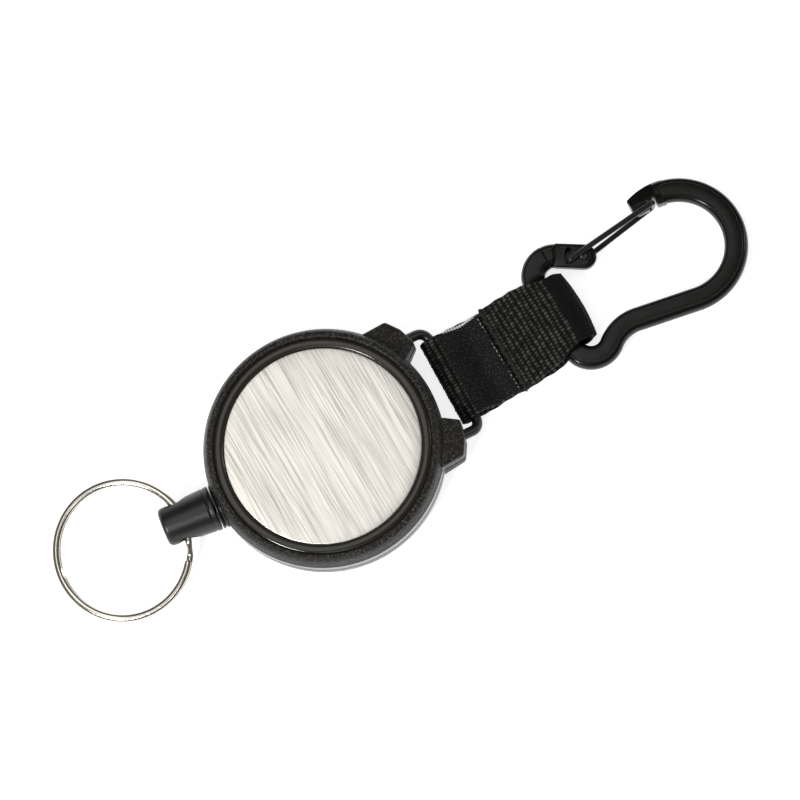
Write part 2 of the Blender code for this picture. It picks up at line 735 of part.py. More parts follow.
def bell(axis):
    """The tapered sleeve: cord bore, chamber for the ferrule, and the cross hole of the key ring."""
    end = BELL_START_S + BELL_L
    edge = BELL_ROUND / 3
    chamber = BELL_START_S + BELL_CHAMBER_S
    profile = [(0, BELL_START_S + BELL_HOLE_S), (BELL_CHAMBER_R, BELL_START_S + BELL_HOLE_S)]
    profile += [(BELL_CHAMBER_R, chamber), (BELL_BORE_R, chamber), (BELL_BORE_R, BELL_START_S)]
    profile += [(bell_radius(0) - edge, BELL_START_S), (bell_radius(edge), BELL_START_S + edge)]
    for offset, depth in ((-2, 0), (-1, 1), (1, 1), (2, 0)):
        along = BELL_LIP_S + offset * BELL_LIP_DEPTH
        profile.append((bell_radius(along) - depth * BELL_LIP_DEPTH, BELL_START_S + along))
    corner = bell_radius(BELL_L - BELL_ROUND)
    for a in quarter_turns():
        profile.append((corner - BELL_ROUND + BELL_ROUND * cos(a), end - BELL_ROUND + BELL_ROUND * sin(a)))
    profile.append((0, end))
    body = piece("bell", revolve(profile, SMALL_ROUND_STEPS), "bell_rubber", axis)
    half = BELL_R_CASE
    wide = BELL_HOLE_R + BELL_HOLE_FLARE
    hole = [(0, -half - CUT_OVERRUN), (wide, -half - CUT_OVERRUN), (wide, -half + BELL_HOLE_FLARE)]
    hole += [(BELL_HOLE_R, -half + 3 * BELL_HOLE_FLARE), (BELL_HOLE_R, half - 3 * BELL_HOLE_FLARE)]
    hole += [(wide, half - BELL_HOLE_FLARE), (wide, half + CUT_OVERRUN), (0, half + CUT_OVERRUN)]
    lay = Matrix.Translation((0, 0, BELL_START_S + BELL_HOLE_S)) @ Matrix.Rotation(pi / 2, 4, "X")
    cutter = helper("bell_hole", turned(revolve(hole, SMALL_ROUND_STEPS), lay), "bell_rubber", axis)
    return cut(body, cutter)


def cord_ferrule(axis):
    """The crimped stop on the cord's end, inside the bell's chamber."""
    start = BELL_START_S + BELL_CHAMBER_S + SEAT_GAP
    return piece("cord_ferrule", rod(FERRULE_R, start, start + FERRULE_L, SMALL_ROUND_STEPS), "nickel_wire", axis)


def lead_start():
    """Where the cord leaves the winding, on its tangent towards the guide, and the throat it runs to."""
    throat = Vector((-EXIT_X - GUIDE_INNER_S * cos(EXIT_ANGLE), GUIDE_INNER_S * sin(EXIT_ANGLE)))
    away = atan2(throat.y, throat.x) % (2 * pi)
    turn = away + acos(OUTER_LAYER_R / throat.length)
    touch = Vector((OUTER_LAYER_R * cos(turn), OUTER_LAYER_R * sin(turn)))
    ahead = (throat - touch).normalized()
    clear_r = OUTER_LAYER_R + CORD_D + SEAT_GAP
    start = touch + ahead * sqrt(clear_r**2 - OUTER_LAYER_R**2)
    return start, throat


def cord_lead():
    """The cord from the winding into the guide, where it turns onto the exit line."""
    start, throat = lead_start()
    stop_s = (GUIDE_INNER_S + GUIDE_END_S) / 2
    stop = (-EXIT_X - stop_s * cos(EXIT_ANGLE), stop_s * sin(EXIT_ANGLE), SPLIT_Z)
    points = [(start.x, start.y, WINDING_Z), (throat.x, throat.y, SPLIT_Z), stop]
    return tube_curve("cord_lead", rounded_path(points, [2 * CORD_D]), CORD_R, "aramid_cord")


def cord_tail(axis):
    """The cord's straight end from the guide to the ferrule."""
    start = (GUIDE_INNER_S + GUIDE_END_S) / 2 + SEAT_GAP
    end = BELL_START_S + BELL_CHAMBER_S
    steps = 4
    path = [(0, 0, start + (end - start) * k / steps) for k in range(steps + 1)]
    return tube_curve("cord_tail", path, CORD_R, "aramid_cord", axis)


def ring_axes():
    """Directions of the key ring's plane: towards its centre, across, and its normal."""
    normal = Vector((-tan(RING_RISE), -tan(RING_LEAN), 1)).normalized()
    heading = Vector((cos(RING_HEADING), sin(RING_HEADING), 0))
    heading.z = -(normal.x * heading.x + normal.y * heading.y) / normal.z
    heading.normalize()
    return heading, normal.cross(heading), normal


def ring_offset():
    """The distance from the hole's axis to the ring's centre, with the curved wire centred in the hole."""
    half = bell_radius(BELL_HOLE_S)
    return RING_R - (RING_R - sqrt(RING_R**2 - half**2)) / 2


def key_ring(axis):
    """Two turns of flat wire with a step between them, lying through the bell's hole."""
    ahead = Vector((-cos(EXIT_ANGLE), sin(EXIT_ANGLE), 0))
    hole = Vector((-EXIT_X, 0, SPLIT_Z)) + ahead * (BELL_START_S + BELL_HOLE_S)
    heading, across, normal = ring_axes()
    hinge = frame_at("ring_hinge", hole, (heading, across, normal))
    level = (RING_WIRE_T + RING_TURN_GAP) / 2
    steps = ceil(RING_SWEEP / RING_STEP_ANGLE)
    face = atan2(heading.y, heading.x)
    path = []
    for k in range(steps + 1):
        turn = RING_SWEEP * k / steps
        angle = RING_TIP_ANGLE - face - turn
        rise = smoothstep((turn - RING_STEP_START) / (RING_STEP_END - RING_STEP_START))
        place = (ring_offset() + RING_R * cos(angle), RING_R * sin(angle), level - 2 * level * rise)
        path.append(Vector(place))
    half_w = RING_WIRE_W / 2
    half_t = RING_WIRE_T / 2
    corner_w = half_w - half_t / 2
    corner_t = half_t / 2
    section = [(-corner_w, -half_t), (corner_w, -half_t), (half_w, -corner_t), (half_w, corner_t)]
    section += [(corner_w, half_t), (-corner_w, half_t), (-half_w, corner_t), (-half_w, -corner_t)]
    return piece("key_ring", sweep(path, section, Vector((0, 0, 1))), "nickel_wire", hinge)


def bell_frame(axis):
    """The bell's own frame on the cord's line, rolled so that its hole follows the key ring's lean."""
    ahead = Vector((-cos(EXIT_ANGLE), sin(EXIT_ANGLE), 0))
    normal = ring_axes()[2]
    hole = normal.cross(ahead)
    hole.normalize()
    if hole.y < 0:
        hole.negate()
    return frame_at("bell_axis", (-EXIT_X, 0, SPLIT_Z), (hole.cross(ahead), hole, ahead))


STRAP_BAR_Z = REST_CLEAR + WEBBING_T + EYE_BAIL_R
BAIL_SLOPE = asin((SPLIT_Z - STRAP_BAR_Z) / BAIL_LENGTH)
CROSSBAR_X = BAIL_PIVOT_X + BAIL_LENGTH * cos(BAIL_SLOPE)
BASE_BAR_Z = REST_CLEAR + WEBBING_T + EYE_BAR_H


def slope_axes(angle):
    """Axes turned about Y so that X points down by the angle."""
    return Vector((cos(angle), 0, -sin(angle))), Vector((0, 1, 0)), Vector((sin(angle), 0, cos(angle)))


def bail():
    """The wire loop. Its ends turn outwards into the lugs."""
    pivot = frame_at("bail_pivot", (BAIL_PIVOT_X, 0, SPLIT_Z), slope_axes(BAIL_SLOPE))
    pin = BAIL_LEG_Y + BAIL_PIN_L
    points = [(0, pin, 0), (0, BAIL_LEG_Y, 0), (BAIL_LENGTH, BAIL_LEG_Y, 0)]
    points += [(BAIL_LENGTH, -BAIL_LEG_Y, 0), (0, -BAIL_LEG_Y, 0), (0, -pin, 0)]
    radii = [BAIL_PIN_BEND_R, BAIL_CORNER_R, BAIL_CORNER_R, BAIL_PIN_BEND_R]
    path = rounded_path(points, radii, BAIL_BEND_STEPS)
    bm = sweep(path, round_section(BAIL_WIRE_R, BAIL_SIDES), Vector((0, 0, 1)))
    return piece("bail", bm, "black_wire", pivot)


def strap_top(x):
    """Height of the strap's upper surface above the bail's crossbar, before the sewn-on end."""
    high = EYE_BAIL_R + WEBBING_T
    sewn = 2 * WEBBING_T + LAYER_GAP - high
    return high + (sewn - high) * smoothstep(x / STRAP_SEWN_X)


def strap_over(x):
    """Height of the upper layer, from its sewn end to the fold round the carabiner."""
    sewn = 3 * WEBBING_T + 2 * LAYER_GAP - EYE_BAIL_R - WEBBING_T
    fold = 2 * (EYE_BAR_H + WEBBING_T) - EYE_BAIL_R - WEBBING_T
    return sewn + (fold - sewn) * smoothstep((x - STRAP_END_X) / (STRAP_FOLD_X - STRAP_END_X))


def strap_eye_top(x):
    """Height of the inner surface over the carabiner's bar."""
    return strap_over(x) - WEBBING_T


def spaced(start, end, step=STRAP_STEP):
    count = max(1, round(abs(end - start) / step))
    return [start + (end - start) * k / count for k in range(count + 1)]


def strap_outlines():
    """The strap from the side: its outer edge and its two eyes."""
    outer_r = EYE_BAIL_R + WEBBING_T
    fold_r = EYE_BAR_H + WEBBING_T
    fold_z = fold_r - outer_r
    outer = arc((0, 0), outer_r, pi / 2, 3 * pi / 2, STRAP_EYE_STEPS)
    outer += arc((STRAP_FOLD_X, fold_z), fold_r, -pi / 2, pi / 2, STRAP_FOLD_STEPS)
    outer += [(x, strap_over(x)) for x in spaced(STRAP_FOLD_X, STRAP_END_X)[1:]]
    outer += [(x, strap_top(x)) for x in spaced(STRAP_END_X, 0)[:-1]]
    bail_eye = arc((0, 0), EYE_BAIL_R, pi / 2, 3 * pi / 2, STRAP_EYE_STEPS)
    closing = STRAP_SEWN_X * STRAP_CLOSING_SHARE
    bail_eye += [(closing, WEBBING_T + LAYER_GAP - outer_r)]
    bail_eye += [(x, strap_top(x) - WEBBING_T) for x in spaced(closing, 0)[1:-1]]
    bar_eye = arc((STRAP_FOLD_X, fold_z), EYE_BAR_H, -pi / 2, pi / 2, STRAP_FOLD_STEPS)
    bar_eye += [(x, strap_eye_top(x)) for x in spaced(STRAP_FOLD_X, STRAP_OPEN_X)[1:]]
    bar_eye += [(STRAP_OPEN_X, WEBBING_T - outer_r)]
    return outer, bail_eye, bar_eye


def side_plate(name, outlines, half_width, look, parent):
    """Side outlines in XZ, the later ones being holes, given their width along Y."""
    curve = bpy.data.curves.new(name, "CURVE")
    curve.dimensions = "2D"
    curve.fill_mode = "BOTH"
    curve.extrude = half_width
    for outline in outlines:
        spline = curve.splines.new("POLY")
        spline.points.add(len(outline) - 1)
        spline.use_cyclic_u = True
        for point, (x, z) in zip(spline.points, outline):
            point.co = (x, z, 0, 1)
    source = link(bpy.data.objects.new(f"{name}_outline", curve))
    flat = bpy.data.meshes.new_from_object(source.evaluated_get(bpy.context.evaluated_depsgraph_get()))
    bpy.data.objects.remove(source, do_unlink=True)
    bm = bmesh.new()
    bm.from_mesh(flat)
    bmesh.ops.remove_doubles(bm, verts=bm.verts, dist=LAYER_GAP / 10)
    return turned(bm, Matrix.Rotation(pi / 2, 4, "X"))


def strap_half_width(x):
    start = WEBBING_W / 2
    share = smoothstep((x - STRAP_NARROW_X) / (STRAP_FOLD_X - STRAP_NARROW_X))
    return start + (STRAP_FOLD_W / 2 - start) * share


def webbing_strap(crossbar):
    """One strip of webbing sewn into an eye round the bail and an eye round the carabiner's bar."""
    bm = side_plate("webbing_strap", strap_outlines(), WEBBING_W / 2, "webbing", crossbar)
    for vert in bm.verts:
        vert.co.y *= strap_half_width(vert.co.x) / (WEBBING_W / 2)
    return piece("webbing_strap", bm, "webbing", crossbar)


def strap_label(crossbar):
    """The thin woven label, laid over the strap beside the bail."""
    along = spaced(LABEL_START_X, LABEL_END_X)
    lower = [(x, strap_top(x) + SEAT_GAP) for x in along]
    upper = [(x, z + LABEL_T) for x, z in reversed(lower)]
    half = WEBBING_W / 2 - LABEL_MARGIN
    bm = side_plate("strap_label", [lower + upper], half, "label_weave", crossbar)
    return piece("strap_label", bm, "label_weave", crossbar)


def bend_place():
    """Centre of the bend that touches both the straight spine and the lower corner of the base."""
    toward = Vector((-cos(SPINE_ANGLE), sin(SPINE_ANGLE)))
    outward = Vector((-sin(SPINE_ANGLE), -cos(SPINE_ANGLE)))
    start = Vector((HOOK_X, 0)) + outward * HOOK_R
    low = Vector((BASE_LOW_R, BASE_LOW_Y))
    from_low = start + outward * BEND_R - low
    along = -from_low.dot(toward)
    apart2 = (BEND_R + BASE_LOW_R) ** 2 - (from_low.length_squared - along**2)
    return from_low + low + toward * (along - sqrt(apart2)), toward, outward


def carabiner_path():
    """Middle line from the hook's end round the spine and the base to the start of the tab."""
    bend, toward, outward = bend_place()
    low = Vector((BASE_LOW_R, BASE_LOW_Y))
    high = (BASE_HIGH_R, BASE_HIGH_Y)
    meet = bend - low
    meet_angle = atan2(meet.y, meet.x)
    spine_start = -pi / 2 - SPINE_ANGLE
    bend_start = atan2(-outward.y, -outward.x)
    points = []

    def add(centre, radius, start, end):
        steps = max(2, round(abs(end - start) * radius / CARABINER_STEP))
        points.extend(arc(centre, radius, start, end, steps))

    add((HOOK_X, 0), HOOK_R, HOOK_END_ANGLE, spine_start)
    add(bend, BEND_R, bend_start, meet_angle + pi)
    add(low, BASE_LOW_R, meet_angle, -pi)
    add(high, BASE_HIGH_R, pi, pi / 2 + TAB_ANGLE)
    path = [Vector((*points[0], 0))]
    for place in points[1:]:
        spot = Vector((*place, 0))
        gap = (spot - path[-1]).length
        parts = max(1, round(gap / (2 * CARABINER_STEP)))
        last = path[-1]
        if gap > CARABINER_STEP / 3:
            path += [last.lerp(spot, (k + 1) / parts) for k in range(parts)]
    return path


def bar_section(scale):
    """The forged bar: round edges, a shoulder, and a flat raised band on both faces."""
    half_w = scale * BAR_W / 2
    half_t = scale * BAR_T / 2
    band = scale * BAND_W / 2
    shoulder = half_t - BAND_STEP
    upper = [(half_w * across, shoulder * up) for across, up in BAR_EDGE_SHARES]
    upper += [((half_w + band) * BAR_SHOULDER_SHARE, shoulder), (band, half_t)]
    mirrored = [(-a, b) for a, b in reversed(upper)]
    top = upper + mirrored
    return [(half_w, 0)] + top + [(-half_w, 0)] + [(-a, -b) for a, b in top]


def carabiner_body(base):
    """The forged hook: swept bar, flat tab with the gate's holes, and the nose with its web and notch."""
    path = carabiner_path()
    near = BASE_HIGH_R

    def section(k):
        middle = path[k].x < near and abs(path[k].y) < BASE_HIGH_Y + BASE_HIGH_R
        slim = BASE_BAR_SHARE + (1 - BASE_BAR_SHARE) * smoothstep(path[k].x / near)
        return bar_section(slim if middle else 1.0)

    body = piece("carabiner_body", sweep(path, section, Vector((0, 0, 1))), "anodised_black", base)
    join(body, tab_shape(base, path[-1]))
    join(body, nose_block(base))
    join(body, nose_web(base))
    cut(body, gate_hole("gate_pivot_hole", base))
    return cut(body, heel_slot(base))


def tab_end(start):
    return start.x + TAB_L * cos(TAB_ANGLE), start.y + TAB_L * sin(TAB_ANGLE)


def tab_shape(base, start):
    """The flat tab, rounded at its end, that the gate turns on."""
    half = TAB_W / 2
    back = (start.x - BAR_W / 4 * cos(TAB_ANGLE), start.y - BAR_W / 4 * sin(TAB_ANGLE))
    across = (-sin(TAB_ANGLE) * half, cos(TAB_ANGLE) * half)
    outline = [(back[0] + across[0], back[1] + across[1]), (back[0] - across[0], back[1] - across[1])]
    outline += arc(tab_end(start), half, TAB_ANGLE - pi / 2, TAB_ANGLE + pi / 2, TAB_STEPS)
    return helper("carabiner_tab", plate(outline, -TAB_T / 2, TAB_T / 2), "anodised_black", base)


def nose_block(base):
    """The thick nose beyond the hook's end, with the notch's far wall."""
    outer = HOOK_R + BAR_W / 2
    inner = HOOK_R - BAR_W / 2
    tip = pi - acos((HOOK_X - NOSE_TIP_X) / outer)
    back = HOOK_END_ANGLE - NOSE_BACK_ANGLE
    outline = arc((HOOK_X, 0), outer, back, tip, NOSE_STEPS)
    notch = NOTCH_X + NOTCH_W / 2
    outline += [(NOSE_TIP_X, NOSE_LAND_Y), (notch, NOSE_LAND_Y)]
    outline += [(notch, inner * sin(acos((notch - HOOK_X) / inner)))]
    outline += [(HOOK_X + inner * cos(back), inner * sin(back))]
    return helper("carabiner_nose", plate(outline, -NOSE_T / 2, NOSE_T / 2), "anodised_black", base)


def nose_web(base):
    """The thin web under the nose that the gate's wires straddle."""
    far = NOTCH_X - NOTCH_W / 2
    high = NOSE_LAND_Y + SEAT_GAP
    round_r = (NOSE_LAND_Y - NOSE_WEB_Y) / 3
    outline = [(NOSE_TIP_X, high), (NOSE_TIP_X, NOSE_WEB_Y + round_r), (NOSE_TIP_X + round_r, NOSE_WEB_Y)]
    outline += [(far, NOSE_WEB_Y), (far, high)]
    return helper("carabiner_web", plate(outline, -TAB_T / 2, TAB_T / 2), "anodised_black", base)


def gate_hole(name, base):
    bm = rod(GATE_WIRE_R + SEAT_GAP, -BAR_T, BAR_T, GATE_HOLE_STEPS)
    place = Matrix.Translation((GATE_PIVOT_X, GATE_PIVOT_Y, 0))
    return helper(name, turned(bm, place), "anodised_black", base)


def heel_slot(base):
    """The curved slot that the gate's second end travels in as the gate opens."""
    clear_r = GATE_WIRE_R + SEAT_GAP
    heel = Vector((GATE_HEEL_X - GATE_PIVOT_X, GATE_HEEL_Y - GATE_PIVOT_Y))
    start = atan2(heel.y, heel.x)
    end = start - GATE_OPEN_ANGLE
    pivot = (GATE_PIVOT_X, GATE_PIVOT_Y)
    radius = heel.length
    first = (pivot[0] + heel.x, pivot[1] + heel.y)
    last = (pivot[0] + radius * cos(end), pivot[1] + radius * sin(end))
    outline = arc(pivot, radius + clear_r, start, end, GATE_SLOT_STEPS)
    outline += arc(last, clear_r, end, end - pi, GATE_SLOT_STEPS)[1:-1]
    outline += arc(pivot, radius - clear_r, end, start, GATE_SLOT_STEPS)
    outline += arc(first, clear_r, start + pi, start, GATE_SLOT_STEPS)[1:-1]
    return helper("gate_heel_slot", plate(outline, -BAR_T, BAR_T), "anodised_black", base)


def gate_wire(base):
    """The bent wire: up the pivot hole, out below, round the nose's notch, back above, down into the slot."""
    pivot = frame_at("gate_pivot", (GATE_PIVOT_X, GATE_PIVOT_Y, 0), parent=base)
    level = TAB_T / 2 + SEAT_GAP + GATE_WIRE_R
    inside = TAB_T / 2 - SEAT_GAP
    loop = (NOTCH_X - GATE_PIVOT_X, GATE_LOOP_Y - GATE_PIVOT_Y)
    heel = (GATE_HEEL_X - GATE_PIVOT_X, GATE_HEEL_Y - GATE_PIVOT_Y)
    points = [(0, 0, inside), (0, 0, -level), (*loop, -level), (*loop, level), (*heel, level), (*heel, -inside)]
    path = rounded_path(points, [GATE_BEND_R] * (len(points) - 2))
    return piece("gate_wire", wire(path, GATE_WIRE_R, GATE_SIDES), "black_wire", pivot)


def carabiner_frame():
    """The middle of the base bar, sloped so that the hook's far end lies just above the table."""
    far = HOOK_X + HOOK_R + BAR_W / 2
    slope = asin((BASE_BAR_Z - BAR_T / 2 - REST_CLEAR) / far)
    return frame_at("carabiner_hinge", (CROSSBAR_X + STRAP_BAR_X, 0, BASE_BAR_Z), slope_axes(slope))


def print_frames():
    """Prints the place and the axes of each joint, in metres."""
    bpy.context.view_layer.update()
    for obj in bpy.data.objects:
        if obj.type == "EMPTY":
            place = ", ".join(f"{value:.6f}" for value in obj.matrix_world.translation)
            axes = "; ".join(str([round(value, 5) for value in row]) for row in obj.matrix_world.transposed())
            print(f"{obj.name}: at {place}, axes {axes}")
    print(f"bail slope {degrees(BAIL_SLOPE):.1f} degrees, winding radius {OUTER_LAYER_R * 1000:.2f} mm")


def main():
    clear_scene()
    axis = cord_axis_frame()
    front_case(axis)
    rear_case(axis)
    face_plate()
    face_bezel()
    arbor()
    spool_washer()
    spool()
    spool_cover()
    power_spring()
    cord_inner_layer()
    cord_outer_layer()
    cord_guide(axis)
    cord_lead()
    cord_tail(axis)
    cord_ferrule(axis)
    bell(bell_frame(axis))
    key_ring(axis)
    bail()
    crossbar = frame_at("strap_hinge", (CROSSBAR_X, 0, STRAP_BAR_Z))
    webbing_strap(crossbar)
    strap_label(crossbar)
    base = carabiner_frame()
    carabiner_body(base)
    gate_wire(base)
    print_frames()


main()
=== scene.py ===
"""Retractable key reel, dressed for its picture: case, cord bell, key ring, webbing strap, carabiner, studio.

Metres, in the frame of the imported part. +X runs from the reel through the strap to the carabiner, +Z is up.
"""

import logging
from dataclasses import dataclass
from enum import Enum
from math import acos, atan2, cos, pi, radians, sin, sqrt

import bmesh
import bpy
import numpy as np
from mathutils import Matrix, Vector


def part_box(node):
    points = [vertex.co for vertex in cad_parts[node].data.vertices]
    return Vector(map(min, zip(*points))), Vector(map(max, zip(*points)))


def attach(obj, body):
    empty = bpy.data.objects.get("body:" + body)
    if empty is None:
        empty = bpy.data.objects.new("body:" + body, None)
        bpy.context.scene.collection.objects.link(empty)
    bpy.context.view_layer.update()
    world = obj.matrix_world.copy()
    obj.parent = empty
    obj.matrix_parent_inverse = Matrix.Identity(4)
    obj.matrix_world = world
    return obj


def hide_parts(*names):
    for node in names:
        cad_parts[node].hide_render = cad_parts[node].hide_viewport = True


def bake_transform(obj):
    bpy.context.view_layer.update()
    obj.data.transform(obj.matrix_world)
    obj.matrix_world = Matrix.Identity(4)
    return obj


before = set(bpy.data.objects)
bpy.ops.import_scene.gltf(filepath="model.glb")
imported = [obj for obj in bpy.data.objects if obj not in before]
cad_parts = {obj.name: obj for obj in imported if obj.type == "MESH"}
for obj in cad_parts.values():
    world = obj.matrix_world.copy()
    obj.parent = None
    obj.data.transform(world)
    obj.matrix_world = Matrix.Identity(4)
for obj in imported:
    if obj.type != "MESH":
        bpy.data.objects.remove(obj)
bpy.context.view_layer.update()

MM = 0.001
WELD = 1e-7
SHARP = 32.0
UP = np.array((0.0, 0.0, 1.0))
ACROSS = np.array((0.0, 1.0, 0.0))
LOG = logging.getLogger("key_reel")

Array = np.ndarray
Obj = bpy.types.Object
Socket = bpy.types.NodeSocket
Material = bpy.types.Material
Triple = tuple[float, float, float]
Value = Socket | float | Triple


class Slot(Enum):
    """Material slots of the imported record."""

    MOULDING = "black_moulding"
    BEZEL = "bezel_gloss"
    PLATE = "brushed_plate"
    GUIDE = "guide_acetal"
    BELL = "bell_rubber"
    NICKEL = "nickel_wire"
    BLACK_WIRE = "black_wire"
    WEBBING = "webbing"
    LABEL = "label_weave"
    ANODISED = "anodised_black"
    CORD = "aramid_cord"
    SPRING = "spring_steel"
    SPOOL = "spool_acetal"
    BRASS = "arbor_brass"
    FILM = "washer_film"


def smoothstep(share: Array | float) -> Array:
    """Rise from 0 to 1 with level ends: 3 s squared less 2 s cubed."""
    held = np.clip(share, 0.0, 1.0)
    return held * held * (3 - 2 * held)


def together(*values: Array | float) -> Array:
    """Values side by side along a new last axis, each spread to the shape that they share."""
    return np.stack(np.broadcast_arrays(*values), axis=-1)


def unit(vectors: Array) -> Array:
    """Each vector divided by its own length."""
    return vectors / np.linalg.norm(vectors, axis=-1, keepdims=True)


def arc(centre: tuple[float, float], radius: float, start: float, end: float, steps: int) -> Array:
    """Points of an arc in a plane.

    Args:
        centre: middle of the arc.
        radius: its radius.
        start: first direction, in radians.
        end: last direction, in radians.
        steps: number of stretches.

    Returns:
        Array of (steps + 1, 2) points, centre plus radius times the direction.
    """
    turn = np.linspace(start, end, steps + 1)
    return together(centre[0] + radius * np.cos(turn), centre[1] + radius * np.sin(turn))


def resample(path: Array, step: float) -> Array:
    """The same path with points a step apart along its length.

    Args:
        path: points of the path.
        step: wanted spacing.

    Returns:
        Points read from the path at equal distances.
    """
    apart = np.linalg.norm(np.diff(path, axis=0), axis=1)
    keep = np.concatenate([[True], apart > WELD])
    path = path[keep]
    along = run_length(path)
    count = max(2, int(round(along[-1] / step)))
    places = np.linspace(0.0, along[-1], count + 1)
    return np.stack([np.interp(places, along, path[:, k]) for k in range(path.shape[1])], axis=1)


def run_length(path: Array) -> Array:
    """Distance along a path at each of its points."""
    return np.concatenate([[0.0], np.cumsum(np.linalg.norm(np.diff(path, axis=0), axis=1))])


def rounded(points: list[tuple[float, ...]], radius: float, steps: int = 10) -> Array:
    """A polyline whose inner corners are arcs.

    Args:
        points: corners in space.
        radius: radius of each rounded corner.
        steps: stretches of each arc.

    Returns:
        Points of the path: each corner's arc is the spherical mix of its two end directions.
    """
    corners = np.array(points, dtype=float)
    path = [corners[:1]]
    for before, corner, after in zip(corners, corners[1:], corners[2:]):
        back = unit(before - corner)
        ahead = unit(after - corner)
        half = acos(float(np.clip(back @ ahead, -1, 1))) / 2
        centre = corner + unit(back + ahead) * radius / sin(half)
        first = corner + back * radius / np.tan(half) - centre
        last = corner + ahead * radius / np.tan(half) - centre
        spread = pi - 2 * half
        share = np.linspace(0, 1, steps + 1)[:, None]
        mixed = first * np.sin((1 - share) * spread) + last * np.sin(share * spread)
        path.append(centre + mixed / sin(spread))
    path.append(corners[-1:])
    return np.concatenate(path)


def circle(radius: float, sides: int) -> Array:
    """A closed round section of the given radius."""
    turn = np.arange(sides) * 2 * pi / sides
    return radius * together(np.cos(turn), np.sin(turn))


def carried(path: Array, section: Array, up: Array) -> Array:
    """A section carried along a path.

    Args:
        path: (rows, 3) points.
        section: (columns, 2) or (rows, columns, 2) values across and upright.
        up: one upright direction, or one for each point.

    Returns:
        (rows, columns, 3) points: path plus across times the first value plus upright times the second.
    """
    ahead = unit(np.gradient(path, axis=0))
    across = unit(np.cross(ahead, np.broadcast_to(up, path.shape)))
    upright = np.cross(across, ahead)
    spread = section if section.ndim == 3 else np.broadcast_to(section, (len(path), *section.shape))
    return path[:, None] + across[:, None] * spread[..., :1] + upright[:, None] * spread[..., 1:]


def closed_round(points: Array) -> Array:
    """The grid with its first column repeated as its last."""
    return np.concatenate([points, points[:, :1]], axis=1)


def with_caps(points: Array) -> Array:
    """The grid with both end rows drawn to their own middle, which closes it.

    Args:
        points: the grid, row by row.

    Returns:
        The grid with one more row at each end.
    """
    first = np.broadcast_to(points[:1].mean(axis=1, keepdims=True), points[:1].shape)
    last = np.broadcast_to(points[-1:].mean(axis=1, keepdims=True), points[-1:].shape)
    return np.concatenate([first, points, last])


def turned(profile: Array, steps: int) -> Array:
    """A profile of (radius, height) turned about Z: radius times cosine and sine, with the height kept.

    Args:
        profile: radius and height of each point.
        steps: number of places round the axis.

    Returns:
        The grid of points.
    """
    turn = np.linspace(0, 2 * pi, steps + 1)[:, None]
    radius = profile[None, :, 0]
    height = np.broadcast_to(profile[None, :, 1], (steps + 1, len(profile)))
    return together(radius * np.cos(turn), radius * np.sin(turn), height)


def grid_quads(rows: int, columns: int) -> Array:
    """Corner numbers of a grid's quads, with its points counted row by row."""
    index = np.arange(rows * columns).reshape(rows, columns)
    return together(index[:-1, :-1], index[:-1, 1:], index[1:, 1:], index[1:, :-1]).reshape(-1, 4)


def linked(name: str, data: bpy.types.ID) -> Obj:
    """A new object for the data, in the scene.

    Args:
        name: the object's name.
        data: its mesh, camera or lamp.

    Returns:
        The object.
    """
    obj = bpy.data.objects.new(name, data)
    bpy.context.scene.collection.objects.link(obj)
    return obj


def coat(obj: Obj, material: Material) -> None:
    """Makes a material the only one of a piece."""
    obj.data.materials.clear()
    obj.data.materials.append(material)


def surface(name: str, points: Array, uv: Array | None = None, angle: float = SHARP,
            shade_lift: Array | None = None) -> Obj:
    """A grid of points as a welded, outward facing mesh.

    Args:
        name: name of the object.
        points: (rows, columns, 3) grid, with its last row or column equal to its first where it closes.
        uv: (rows, columns, 2) places on the surface in metres, where the finish follows it.
        angle: edges sharper than this many degrees stay sharp.
        shade_lift: (rows, columns) values kept as a point attribute of the same name, which the webbing's
            finish turns into painted shade in the hollows and folds and a painted highlight on the tops.

    Returns:
        The object, linked to the scene.
    """
    mesh = bpy.data.meshes.new(name)
    mesh.from_pydata(points.reshape(-1, 3), [], grid_quads(*points.shape[:2]))
    if uv is not None:
        corner = np.empty(len(mesh.loops), dtype=np.int32)
        mesh.loops.foreach_get("vertex_index", corner)
        layer = mesh.uv_layers.new(name="UVMap")
        layer.data.foreach_set("uv", uv.reshape(-1, 2)[corner].astype(np.float32).reshape(-1))
    if shade_lift is not None:
        kept = mesh.attributes.new("shade_lift", "FLOAT", "POINT")
        kept.data.foreach_set("value", shade_lift.astype(np.float32).reshape(-1))
    return shown(name, mesh, angle)


def shown(name: str, mesh: bpy.types.Mesh, angle: float = SHARP) -> Obj:
    """Welds a mesh, turns its faces outwards, shades it smooth and links it as an object.

    Args:
        name: the object's name.
        mesh: the mesh.
        angle: degrees between two faces past which their edge is sharp.

    Returns:
        The object.
    """
    bm = bmesh.new()
    bm.from_mesh(mesh)
    bmesh.ops.remove_doubles(bm, verts=bm.verts, dist=WELD)
    bmesh.ops.recalc_face_normals(bm, faces=bm.faces)
    bm.to_mesh(mesh)
    bm.free()
    mesh.shade_smooth()
    mesh.set_sharp_from_angle(angle=radians(angle))
    return linked(name, mesh)


def lathe(name: str, profile: Array, steps: int = 192, place: Matrix | None = None) -> Obj:
    """A turned piece, with its own axis on Z before it is placed.

    Args:
        name: name of the object.
        profile: (radius, height) points, from axis to axis or with its last point equal to its first.
        steps: number of sides.
        place: where its Z axis goes.

    Returns:
        The object.
    """
    obj = surface(name, turned(np.asarray(profile, dtype=float), steps))
    if place is not None:
        obj.data.transform(place)
    return obj


